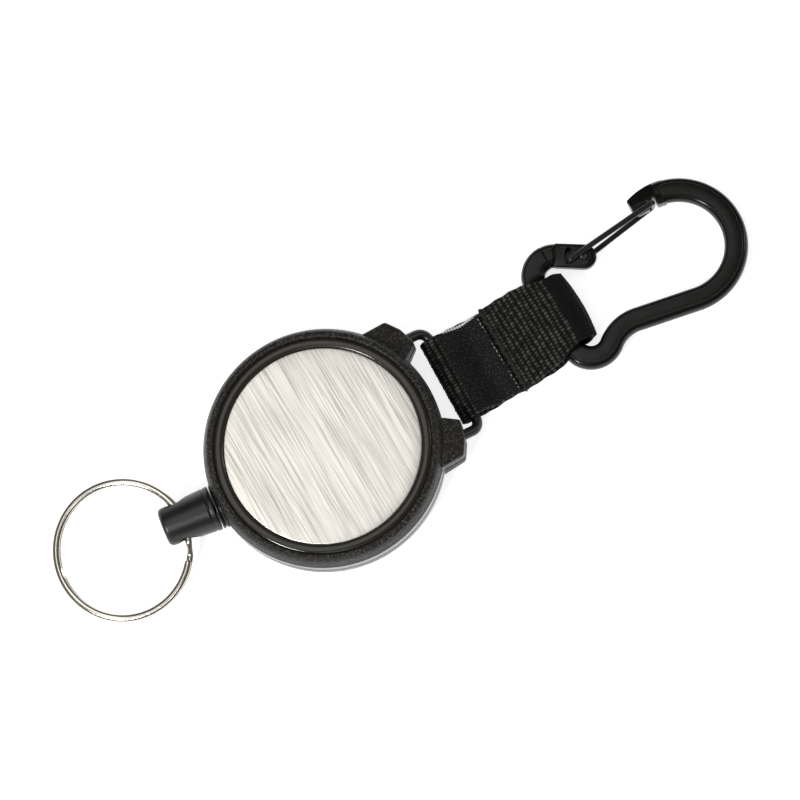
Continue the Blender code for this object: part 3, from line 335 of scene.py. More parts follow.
def tube(name: str, path: Array, radius: float, up: Array, sides: int) -> Obj:
    """A round wire along a path with flat ends, whose UV runs along it and round it in metres.

    Args:
        name: the object's name.
        path: points of the wire's middle.
        radius: the wire's radius.
        up: a direction that the path doesn't run along.
        sides: sides of the section.

    Returns:
        The wire.
    """
    grid = with_caps(closed_round(carried(path, circle(radius, sides), up)))
    along = run_length(path)
    along = np.concatenate([along[:1], along, along[-1:]])
    around = np.linspace(0, 2 * pi * radius, sides + 1)
    uv = np.stack(np.meshgrid(along, around, indexing="ij"), axis=-1)
    return surface(name, grid, uv)


def slab(name: str, outline: Array, bottoms: Array | float, tops: Array | float, bevel: float = 0.0,
         segments: int = 2) -> Obj:
    """An outline given a thickness, with its edges rounded.

    Args:
        name: name of the object.
        outline: (x, y) points, going round once.
        bottoms: lower height, one or one for each point.
        tops: upper height, one or one for each point.
        bevel: width of the rounding, or 0 for none.
        segments: steps of the rounding.

    Returns:
        The object.
    """
    bm = bmesh.new()
    low, high = ([bm.verts.new((x, y, z)) for (x, y), z in zip(outline, np.broadcast_to(level, len(outline)))]
                 for level in (bottoms, tops))
    for k in range(len(low)):
        after = (k + 1) % len(low)
        bm.faces.new((low[k], low[after], high[after], high[k]))
    bm.faces.new(low)
    bm.faces.new(high)
    bmesh.ops.recalc_face_normals(bm, faces=bm.faces)
    if bevel > 0:
        sharp = [e for e in bm.edges if e.calc_face_angle(0.0) > radians(20)]
        bmesh.ops.bevel(bm, geom=sharp, offset=bevel, segments=segments, profile=0.5, affect="EDGES",
                        clamp_overlap=True)
    bmesh.ops.triangulate(bm, faces=[f for f in bm.faces if len(f.verts) > 4])
    mesh = bpy.data.meshes.new(name)
    bm.to_mesh(mesh)
    bm.free()
    return shown(name, mesh)


def combined(obj: Obj, steps: list[tuple[str, Obj]], angle: float = SHARP) -> Obj:
    """Joins or cuts a piece with helper solids, then removes the helpers.

    Args:
        obj: the piece that is changed.
        steps: pairs of UNION or DIFFERENCE and the helper.
        angle: edges sharper than this many degrees stay sharp.

    Returns:
        The same object with its new mesh.
    """
    for operation, other in steps:
        change = obj.modifiers.new(other.name, "BOOLEAN")
        change.operation = operation
        change.solver = "EXACT"
        change.object = other
    bpy.context.view_layer.update()
    ready = obj.evaluated_get(bpy.context.evaluated_depsgraph_get())
    mesh = bpy.data.meshes.new_from_object(ready)
    obj.modifiers.clear()
    obj.data = mesh
    for _, other in steps:
        bpy.data.objects.remove(other, do_unlink=True)
    mesh.shade_smooth()
    mesh.set_sharp_from_angle(angle=radians(angle))
    return obj


def dress(obj: Obj, body: str, slot: Slot, material: Material, *nodes: str) -> Obj:
    """Gives a finished piece its material and its body, and hides the CAD nodes that it stands for.

    Args:
        obj: the piece.
        body: the body it rides on.
        slot: not used.
        material: its material.
        nodes: the CAD nodes it stands for.

    Returns:
        The same piece.
    """
    coat(obj, material)
    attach(obj, body)
    if nodes:
        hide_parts(*nodes)
    LOG.info("%s: %d faces on %s", obj.name, len(obj.data.polygons), body)
    return obj


def many(name: str, grids: list[Array]) -> Obj:
    """Several closed grids of the same size as one mesh.

    Args:
        name: name of the object.
        grids: (rows, columns, 3) grids.

    Returns:
        The object.
    """
    rows, columns = grids[0].shape[:2]
    first = np.arange(len(grids))[:, None, None] * rows * columns
    quads = (grid_quads(rows, columns)[None] + first).reshape(-1, 4)
    mesh = bpy.data.meshes.new(name)
    mesh.from_pydata(np.stack(grids).reshape(-1, 3), [], quads)
    return shown(name, mesh, 60.0)


class Tree:
    """A node tree and short calls that fill it."""

    def __init__(self, tree: bpy.types.NodeTree) -> None:
        """Keeps the tree that the calls fill."""
        self.tree = tree

    def node(self, kind: str, settings: dict | None = None, **inputs) -> bpy.types.Node:
        """Adds a node.

        Args:
            kind: the node's type name.
            settings: properties to set on it.
            inputs: its inputs by name, with underscores for spaces; a socket is linked, a value is set.

        Returns:
            The node.
        """
        made = self.tree.nodes.new(kind)
        for key, value in (settings or {}).items():
            setattr(made, key, value)
        for key, value in inputs.items():
            socket = made.inputs[int(key[2:]) if key.startswith("in") else key.replace("_", " ")]
            if isinstance(value, Socket):
                self.tree.links.new(value, socket)
            else:
                socket.default_value = value
        return made

    def math(self, operation: str, first: Value, second: Value = 0.0) -> Socket:
        """One Math node's result."""
        made = self.node("ShaderNodeMath", {"operation": operation}, in0=first, in1=second)
        return made.outputs[0]

    def times(self, first: Value, second: Value) -> Socket:
        """A product."""
        return self.math("MULTIPLY", first, second)

    def plus(self, first: Value, second: Value) -> Socket:
        """A sum."""
        return self.math("ADD", first, second)

    def spread(self, value: Value, low: float, high: float, to_low: Value = 0.0,
               to_high: Value = 1.0) -> Socket:
        """A value mapped from one range to another, and held inside it."""
        made = self.node("ShaderNodeMapRange", {"clamp": True}, in0=value, in1=low, in2=high, in3=to_low,
                         in4=to_high)
        return made.outputs[0]

    def mix(self, share: Value, first: Value, second: Value) -> Socket:
        """A colour between two, by a share.

        Args:
            share: 0 for the first colour, 1 for the second.
            first: a colour.
            second: a colour.

        Returns:
            The colour's socket.
        """
        made = self.node("ShaderNodeMix", {"data_type": "RGBA"})
        for place, value in ((0, share), (6, first), (7, second)):
            if isinstance(value, Socket):
                self.tree.links.new(value, made.inputs[place])
            else:
                made.inputs[place].default_value = (*value, 1.0) if isinstance(value, tuple) else value
        return made.outputs[2]

    def scaled(self, vector: Socket, scale: Triple) -> Socket:
        """A vector times a scale along each axis."""
        return self.node("ShaderNodeVectorMath", {"operation": "MULTIPLY"}, in0=vector, in1=scale).outputs[0]

    def noise(self, vector: Socket, scale: float, detail: float = 2.0, rough: float = 0.5) -> Socket:
        """Noise from 0 to 1 at a place."""
        made = self.node("ShaderNodeTexNoise", None, Vector=vector, Scale=scale, Detail=detail,
                         Roughness=rough)
        return made.outputs[0]


class Group:
    """A shader node group with named inputs and outputs."""

    def __init__(self, name: str, inputs: dict[str, tuple[str, object]], outputs: tuple[str, ...]) -> None:
        """Makes the empty group.

        Args:
            name: the group's name.
            inputs: each input's socket type and default value.
            outputs: names of the float outputs.
        """
        self.group = bpy.data.node_groups.new(name, "ShaderNodeTree")
        for key, (kind, value) in inputs.items():
            socket = self.group.interface.new_socket(name=key, in_out="INPUT", socket_type=kind)
            if value is not None:
                socket.default_value = value
        for key in outputs:
            self.group.interface.new_socket(name=key, in_out="OUTPUT", socket_type="NodeSocketFloat")
        self.tree = Tree(self.group)
        self.given = self.group.nodes.new("NodeGroupInput").outputs
        self.made = self.group.nodes.new("NodeGroupOutput").inputs

    def give(self, name: str, socket: Socket) -> None:
        """Connects a result to a named output."""
        self.group.links.new(socket, self.made[name])


FLOAT = "NodeSocketFloat"
VECTOR = "NodeSocketVector"


def grain_group() -> bpy.types.NodeTree:
    """Moulded leather grain: rounded pebbles of a cell pattern whose cells are pushed about by noise.

    Returns:
        The group.
    """
    group = Group("grain", {"Place": (VECTOR, None), "Cells": (FLOAT, 2000.0), "Push": (FLOAT, 0.0002)},
                  ("Height", "Tone"))
    tree = group.tree
    wander = tree.node("ShaderNodeTexNoise", None, Vector=group.given["Place"], Scale=1400.0, Detail=2.0)
    centred = tree.node("ShaderNodeVectorMath", {"operation": "SUBTRACT"}, in0=wander.outputs["Color"],
                        in1=(0.5, 0.5, 0.5))
    pushed = tree.node("ShaderNodeVectorMath", {"operation": "SCALE"}, in0=centred.outputs[0],
                       Scale=group.given["Push"])
    place = tree.node("ShaderNodeVectorMath", {"operation": "ADD"}, in0=group.given["Place"],
                      in1=pushed.outputs[0])
    cells = tree.node("ShaderNodeTexVoronoi", {"feature": "SMOOTH_F1"}, Vector=place.outputs[0],
                      Scale=group.given["Cells"],
                      Smoothness=0.35)
    pebble = tree.math("SUBTRACT", 1.0, cells.outputs["Distance"])
    fine = tree.noise(group.given["Place"], 5200.0, 3.0, 0.6)
    group.give("Height", tree.plus(pebble, tree.times(fine, 0.22)))
    # Tone is 1 on the pebble tops; the moulding paints these lighter, as a painted sparkle highlight.
    group.give("Tone", tree.spread(tree.plus(pebble, tree.times(fine, 0.5)), 0.85, 1.2))
    return group.group


def wear_group() -> bpy.types.NodeTree:
    """Handling marks: a broad smudge and thin scratches in two directions, each from 0 to 1.

    Returns:
        The group.
    """
    group = Group("wear", {"Place": (VECTOR, None), "Smudge Size": (FLOAT, 90.0)}, ("Smudge", "Scratch"))
    tree = group.tree
    smudge = tree.node("ShaderNodeTexNoise", None, Vector=group.given["Place"],
                       Scale=group.given["Smudge Size"], Detail=4.0,
                       Roughness=0.6)
    lines = []
    for turn in (0.5, -0.9):
        rotated = tree.node("ShaderNodeVectorRotate", {"rotation_type": "Z_AXIS"},
                            Vector=group.given["Place"], Angle=turn)
        stretched = tree.scaled(rotated.outputs[0], (60.0, 2600.0, 700.0))
        lines.append(tree.spread(tree.noise(stretched, 1.0, 2.0, 0.7), 0.69, 0.73))
    group.give("Smudge", smudge.outputs[0])
    group.give("Scratch", tree.math("MAXIMUM", lines[0], lines[1]))
    return group.group


def brushed_group() -> bpy.types.NodeTree:
    """Brush lines along Y: noise drawn out along Y at two widths, mixed into one height and one tone.

    Returns:
        The group.
    """
    group = Group("brushed", {"Place": (VECTOR, None)}, ("Height", "Tone", "Streak"))
    tree = group.tree
    fine = tree.noise(tree.scaled(group.given["Place"], (13000.0, 120.0, 300.0)), 1.0, 2.0, 0.6)
    middle = tree.noise(tree.scaled(group.given["Place"], (7600.0, 75.0, 300.0)), 1.0, 1.0, 0.5)
    both = tree.plus(tree.times(fine, 0.20), tree.times(middle, 0.80))
    group.give("Height", both)
    group.give("Tone", tree.spread(both, 0.36, 0.56))
    hair = tree.noise(tree.scaled(group.given["Place"], (6500.0, 60.0, 300.0)), 1.0, 0.0, 0.5)
    group.give("Streak", tree.spread(hair, 0.33, 0.27))
    return group.group


def yarn_group() -> bpy.types.NodeTree:
    """Twisted filaments: fine slanting lines along the surface's own length, broken up by noise.

    Returns:
        The group.
    """
    group = Group("yarn", {"Along": (VECTOR, None), "Filament": (FLOAT, 9000.0)}, ("Height", "Tone"))
    tree = group.tree
    split = tree.node("ShaderNodeSeparateXYZ", None, Vector=group.given["Along"])
    wander = tree.times(tree.noise(group.given["Along"], 1500.0, 2.0), 0.0005)
    slant = tree.plus(tree.plus(split.outputs[1], tree.times(split.outputs[0], 0.35)), wander)
    line = tree.math("SINE", tree.times(slant, group.given["Filament"]))
    fuzz = tree.noise(group.given["Along"], 7000.0, 3.0, 0.7)
    group.give("Height", tree.plus(tree.times(line, 0.35), fuzz))
    group.give("Tone", tree.spread(fuzz, 0.3, 0.7))
    return group.group


class Effects:
    """The shared node groups, each built once."""

    def __init__(self) -> None:
        """Builds the four groups."""
        self.grain = grain_group()
        self.wear = wear_group()
        self.brushed = brushed_group()
        self.yarn = yarn_group()


class Paint:
    """One material: a shader with its constants, and the nodes that vary it over the surface."""

    def __init__(self, name: str, colour: Triple, roughness: float, metallic: float = 0.0,
                 **constants: float) -> None:
        """Starts the material.

        Args:
            name: name of the material.
            colour: its base colour.
            roughness: its roughness.
            metallic: 1 for bare metal.
            constants: other values set on the shader's own sockets.
        """
        self.material = bpy.data.materials.new(name)
        self.material.use_nodes = True
        self.tree = Tree(self.material.node_tree)
        self.shader = self.material.node_tree.nodes["Principled BSDF"]
        self.set("Base Color", (*colour, 1.0))
        self.set("Roughness", roughness)
        self.set("Metallic", metallic)
        for key, value in constants.items():
            self.set(key.replace("_", " "), value)
        self.material.diffuse_color = (*colour, 1.0)

    def set(self, name: str, value: Value) -> None:
        """Sets or links one input of the shader."""
        if isinstance(value, Socket):
            self.material.node_tree.links.new(value, self.shader.inputs[name])
        else:
            self.shader.inputs[name].default_value = value

    def place(self) -> Socket:
        """Object coordinates."""
        return self.tree.node("ShaderNodeTexCoord").outputs["Object"]

    def along(self) -> Socket:
        """The piece's own UV map, in metres along and across."""
        return self.tree.node("ShaderNodeUVMap", {"uv_map": "UVMap"}).outputs["UV"]

    def group(self, tree: bpy.types.NodeTree, **inputs) -> dict[str, Socket]:
        """Places a shared group and returns its outputs by name."""
        made = self.tree.node("ShaderNodeGroup", {"node_tree": tree}, **inputs)
        return {socket.name: socket for socket in made.outputs}

    def bump(self, height: Socket, distance: float, strength: float = 1.0) -> Socket:
        """A bump from a height in shares of the distance."""
        made = self.tree.node("ShaderNodeBump", None, Height=height, Distance=distance, Strength=strength)
        return made.outputs[0]


@dataclass(frozen=True)
class MouldedFinish:
    """Black moulded plastic with a pebbled grain, which the case's steep flank goes without."""

    name: str
    colour: Triple = (0.0066, 0.0056, 0.0044)
    roughness: float = 0.44
    cells: float = 1900.0
    depth: float = 0.00021
    worn: float = 0.35
    side_in: float = 24.95 * MM
    side_out: float = 25.32 * MM
    side_low: float = 3.6 * MM
    side_high: float = 9.42 * MM

    def flank(self, paint: "Paint", place: Socket) -> Socket:
        """1 on the smooth side wall: a band of radii between two heights.

        Args:
            paint: the material in the making.
            place: the place on the piece.

        Returns:
            The share's socket.
        """
        tree, soft = paint.tree, 0.08 * MM
        out = tree.node("ShaderNodeVectorMath", {"operation": "LENGTH"},
                        in0=tree.scaled(place, (1.0, 1.0, 0.0))).outputs[1]
        height = tree.node("ShaderNodeSeparateXYZ", None, Vector=place).outputs[2]
        below = tree.spread(height, self.side_high, self.side_high + soft, 1.0, 0.0)
        above = tree.spread(height, self.side_low - 6 * soft, self.side_low)
        after = tree.spread(out, self.side_in - soft, self.side_in)
        before = tree.spread(out, self.side_out, self.side_out + soft, 1.0, 0.0)
        return tree.times(tree.times(after, before), tree.times(below, above))

    def build(self, effects: Effects) -> Material:
        """Grain in the bump, pebble tops painted lighter as a painted sparkle highlight, and smudges in the
        roughness.

        Args:
            effects: the shared node groups.

        Returns:
            The material.
        """
        paint = Paint(self.name, self.colour, self.roughness, Specular_IOR_Level=0.36, Coat_Roughness=0.16)
        place = paint.place()
        grain = paint.group(effects.grain, Place=place, Cells=self.cells, Push=0.0003)
        wear = paint.group(effects.wear, Place=place)
        tree = paint.tree
        side = self.flank(paint, place)
        paint.set("Coat Weight", tree.times(side, 0.6))
        grained = tree.math("SUBTRACT", 1.0, side)
        # Painted highlight: the pebble tops get a much lighter colour, which stands in for the sparkle of
        # light on the glossy grain.
        light = tuple(c * 13.0 + 0.008 for c in self.colour)
        tops = tree.mix(tree.times(grain["Tone"], tree.times(grained, 0.8)), self.colour, light)
        worn = tree.times(wear["Scratch"], self.worn * 0.2)
        paint.set("Base Color", tree.mix(worn, tops, (0.07, 0.07, 0.065)))
        rough = tree.spread(wear["Smudge"], 0.3, 0.7, self.roughness - 0.06, self.roughness + 0.06)
        paint.set("Roughness", tree.math("SUBTRACT", rough, tree.spread(grained, 0.0, 1.0, 0.02, 0.0)))
        fine = tree.times(tree.noise(place, 4000.0, 2.0), 0.05)
        height = tree.plus(tree.times(grain["Height"], grained), fine)
        paint.set("Normal", paint.bump(height, self.depth, 1.0))
        return paint.material


@dataclass(frozen=True)
class SmoothFinish:
    """Black plastic or lacquer, smooth to the touch, with fine texture, smudges and hairline scratches."""

    name: str
    colour: Triple = (0.014, 0.014, 0.0145)
    roughness: float = 0.25
    metallic: float = 0.0
    coat: float = 0.0
    texture: float = 6000.0
    depth: float = 0.000006
    worn: float = 0.4
    specular: float = 0.5

    def build(self, effects: Effects) -> Material:
        """Fine noise in the bump, smudges in the roughness and scratches in the colour.

        Args:
            effects: the shared node groups.

        Returns:
            The material.
        """
        paint = Paint(self.name, self.colour, self.roughness, self.metallic, Coat_Weight=self.coat,
                      Coat_Roughness=0.12,
                      Specular_IOR_Level=self.specular)
        place = paint.place()
        wear = paint.group(effects.wear, Place=place, Smudge_Size=140.0)
        tree = paint.tree
        light = tuple(min(1.0, c * 4 + 0.03) for c in self.colour)
        paint.set("Base Color", tree.mix(tree.times(wear["Scratch"], self.worn * 0.35), self.colour, light))
        rough = tree.spread(wear["Smudge"], 0.3, 0.7, self.roughness - 0.05, self.roughness + 0.09)
        paint.set("Roughness", tree.plus(rough, tree.times(wear["Scratch"], 0.15)))
        paint.set("Normal", paint.bump(tree.noise(place, self.texture, 3.0, 0.6), self.depth))
        return paint.material


@dataclass(frozen=True)
class BrushedFinish:
    """Warm white steel, brushed in one direction."""

    name: str
    dark: Triple = (0.68, 0.65, 0.595)
    light: Triple = (0.91, 0.875, 0.81)
    roughness: float = 0.34

    def build(self, effects: Effects) -> Material:
        """Brush lines in the colour, the roughness and the bump.

        Args:
            effects: the shared node groups.

        Returns:
            The material.
        """
        paint = Paint(self.name, self.light, self.roughness, 1.0)
        lines = paint.group(effects.brushed, Place=paint.place())
        tree = paint.tree
        toned = tree.mix(lines["Tone"], self.dark, self.light)
        paint.set("Base Color", tree.mix(tree.times(lines["Streak"], 0.6), toned, (0.30, 0.28, 0.25)))
        rough = tree.spread(lines["Tone"], 0.0, 1.0, self.roughness + 0.10, self.roughness - 0.04)
        paint.set("Roughness", rough)
        paint.set("Normal", paint.bump(lines["Height"], 0.000012, 0.9))
        return paint.material


@dataclass(frozen=True)
class MetalFinish:
    """Bare or plated metal with smudges and hairline scratches."""

    name: str
    colour: Triple
    roughness: float = 0.16
    drawn: float = 0.000003

    def build(self, effects: Effects) -> Material:
        """Smudges in the colour and the roughness, and a fine drawn texture in the bump.

        Args:
            effects: the shared node groups.

        Returns:
            The material.
        """
        paint = Paint(self.name, self.colour, self.roughness, 1.0)
        place = paint.place()
        wear = paint.group(effects.wear, Place=place, Smudge_Size=260.0)
        tree = paint.tree
        dull = tuple(c * 0.78 for c in self.colour)
        smudged = tree.spread(wear["Smudge"], 0.35, 0.75, 0.0, 0.6)
        paint.set("Base Color", tree.mix(smudged, self.colour, dull))
        rough = tree.spread(wear["Smudge"], 0.3, 0.7, self.roughness - 0.04, self.roughness + 0.08)
        paint.set("Roughness", tree.plus(rough, tree.times(wear["Scratch"], 0.18)))
        paint.set("Normal", paint.bump(tree.noise(place, 4200.0, 3.0, 0.6), self.drawn))
        return paint.material


@dataclass(frozen=True)
class YarnFinish:
    """Woven or braided yarn: filaments that follow the piece's own UV map."""

    name: str
    colour: Triple
    light: Triple
    roughness: float = 0.7
    sheen: float = 0.25
    filament: float = 30000.0
    depth: float = 0.00003
    by_place: bool = False

    def build(self, effects: Effects) -> Material:
        """Filaments in the bump and lighter fibres in the colour.

        Args:
            effects: the shared node groups.

        Returns:
            The material.
        """
        paint = Paint(self.name, self.colour, self.roughness, Sheen_Weight=self.sheen, Sheen_Roughness=0.4,
                      Specular_IOR_Level=0.3)
        along = paint.place() if self.by_place else paint.along()
        yarn = paint.group(effects.yarn, Along=along, Filament=self.filament)
        tree = paint.tree
        paint.set("Base Color", tree.mix(yarn["Tone"], self.colour, self.light))
        paint.set("Normal", paint.bump(yarn["Height"], self.depth))
        return paint.material


@dataclass(frozen=True)
class WebbingFinish:
    """Black nylon webbing: painted shade between its bumps and in its folds, a painted highlight on the bump
    tops, and filaments along each yarn.
    """

    name: str
    # deep is painted shade for the weave's hollows and the strip's folds; high is a painted highlight for the
    # bump tops.
    deep: Triple = (0.0016, 0.0018, 0.0015)
    high: Triple = (0.098, 0.104, 0.082)
    roughness: float = 0.6

    def build(self, effects: Effects) -> Material:
        """Colour by the weave's height, with painted shade in the hollows and folds and a painted highlight
        on the bump tops, and filaments in the bump.

        Args:
            effects: the shared node groups.

        Returns:
            The material.
        """
        paint = Paint(self.name, self.high, self.roughness, Sheen_Weight=0.02, Sheen_Roughness=0.45,
                      Specular_IOR_Level=0.18)
        tree = paint.tree
        yarn = paint.group(effects.yarn, Along=paint.along(), Filament=26000.0)
        # Painted light: the colour runs from deep in the hollows and folds to high on the bump tops, as
        # painted shade and painted highlight.
        shade_lift = tree.node("ShaderNodeAttribute", {"attribute_name": "shade_lift"}).outputs["Fac"]
        share = tree.times(tree.spread(shade_lift, 0.50, 0.98), tree.spread(yarn["Tone"], 0.0, 1.0, 0.45, 1.0))
        paint.set("Base Color", tree.mix(share, self.deep, self.high))
        paint.set("Roughness", tree.spread(shade_lift, 0.2, 1.0, self.roughness + 0.2, self.roughness - 0.06))
        paint.set("Normal", paint.bump(yarn["Height"], 0.00004))
        return paint.material


@dataclass(frozen=True)
class LabelFinish:
    """Black satin label: fine slanting lines of a twill with a soft shine."""

    name: str
    deep: Triple = (0.0018, 0.0018, 0.0018)
    high: Triple = (0.016, 0.016, 0.015)
    roughness: float = 0.5

    def build(self, effects: Effects) -> Material:
        """Two crossed sets of fine lines in the bump and in the colour, broken up by noise.

        Args:
            effects: the shared node groups, of which it needs none.

        Returns:
            The material.
        """
        paint = Paint(self.name, self.high, self.roughness, Sheen_Weight=0.01, Sheen_Roughness=0.4,
                      Specular_IOR_Level=0.12)
        tree = paint.tree
        along = paint.along()
        split = tree.node("ShaderNodeSeparateXYZ", None, Vector=along)
        wander = tree.times(tree.noise(along, 900.0, 2.0), 0.0003)
        slant = tree.plus(tree.plus(tree.times(split.outputs[0], 0.7), split.outputs[1]), wander)
        twill = tree.math("SINE", tree.times(slant, 17000.0))
        weft = tree.math("SINE", tree.times(split.outputs[0], 26000.0))
        both = tree.plus(tree.times(twill, 0.5), tree.times(weft, 0.35))
        fuzz = tree.noise(along, 5200.0, 3.0, 0.65)
        height = tree.plus(both, fuzz)
        speck = tree.spread(tree.noise(along, 2700.0, 1.0), 0.58, 0.68)
        weave = tree.mix(tree.spread(height, 0.1, 1.3), self.deep, self.high)
        paint.set("Base Color", tree.mix(speck, weave, (0.042, 0.042, 0.040)))
        paint.set("Normal", paint.bump(height, 0.00004))
        return paint.material


def placed(obj: Obj, matrix: Matrix) -> Obj:
    """Moves a mesh's points, and keeps its faces outwards if the move mirrors it.

    Args:
        obj: the piece.
        matrix: the move.

    Returns:
        The same piece.
    """
    obj.data.transform(matrix)
    if matrix.determinant() < 0:
        obj.data.flip_normals()
    return obj


def axes_at(place: Triple, x: Vector, y: Vector, z: Vector) -> Matrix:
    """The matrix whose X, Y and Z axes are the given directions, at a place."""
    return Matrix.Translation(place) @ Matrix((x, y, z)).transposed().to_4x4()


@dataclass
class Layout:
    """Sizes and places that more than one sub-assembly uses."""

    gap: float = 0.3 * MM
    case_radius: float = 25.2 * MM
    case_height: float = 13.0 * MM
    seam_height: float = 6.0 * MM
    exit_x: float = -16.5 * MM
    exit_angle: float = radians(8.7)
    guide_wall: float = 7.9 * MM
    collar: float = 1.3 * MM
    bail_x: float = 24.0 * MM
    bail_leg_y: float = 11.8 * MM
    bail_length: float = 7.2 * MM
    bail_wire: float = 1.0 * MM
    webbing: float = 1.35 * MM
    rest: float = 0.1 * MM
    bail_eye: float = 1.5 * MM
    bar_eye: float = 2.75 * MM
    base_bar: float = 24.75 * MM

    def crossbar(self) -> Triple:
        """Middle of the bail's crossbar, which the strap turns on.

        Returns:
            The place.
        """
        height = self.rest + self.webbing + self.bail_eye
        slope = np.arcsin((self.seam_height - height) / self.bail_length)
        return self.bail_x + self.bail_length * cos(slope), 0.0, height

    def bail_frame(self) -> Matrix:
        """The bail's pivot, with X down its legs.

        Returns:
            The frame.
        """
        x, _, height = self.crossbar()
        along = Vector((x - self.bail_x, 0, height - self.seam_height)).normalized()
        across = Vector((0, 1, 0))
        return axes_at((self.bail_x, 0, self.seam_height), along, across, along.cross(across))

    def exit_spot(self) -> Triple:
        """The place in the case's wall that the cord's line starts from."""
        return self.exit_x, 0, self.seam_height

    def exit_line(self) -> Vector:
        """The direction that the cord leaves in."""
        return Vector((-cos(self.exit_angle), sin(self.exit_angle), 0))

    def exit_frame(self) -> Matrix:
        """The cord's line, with Z outwards and X up."""
        ahead, up = self.exit_line(), Vector((0, 0, 1))
        return axes_at(self.exit_spot(), up, ahead.cross(up), ahead)


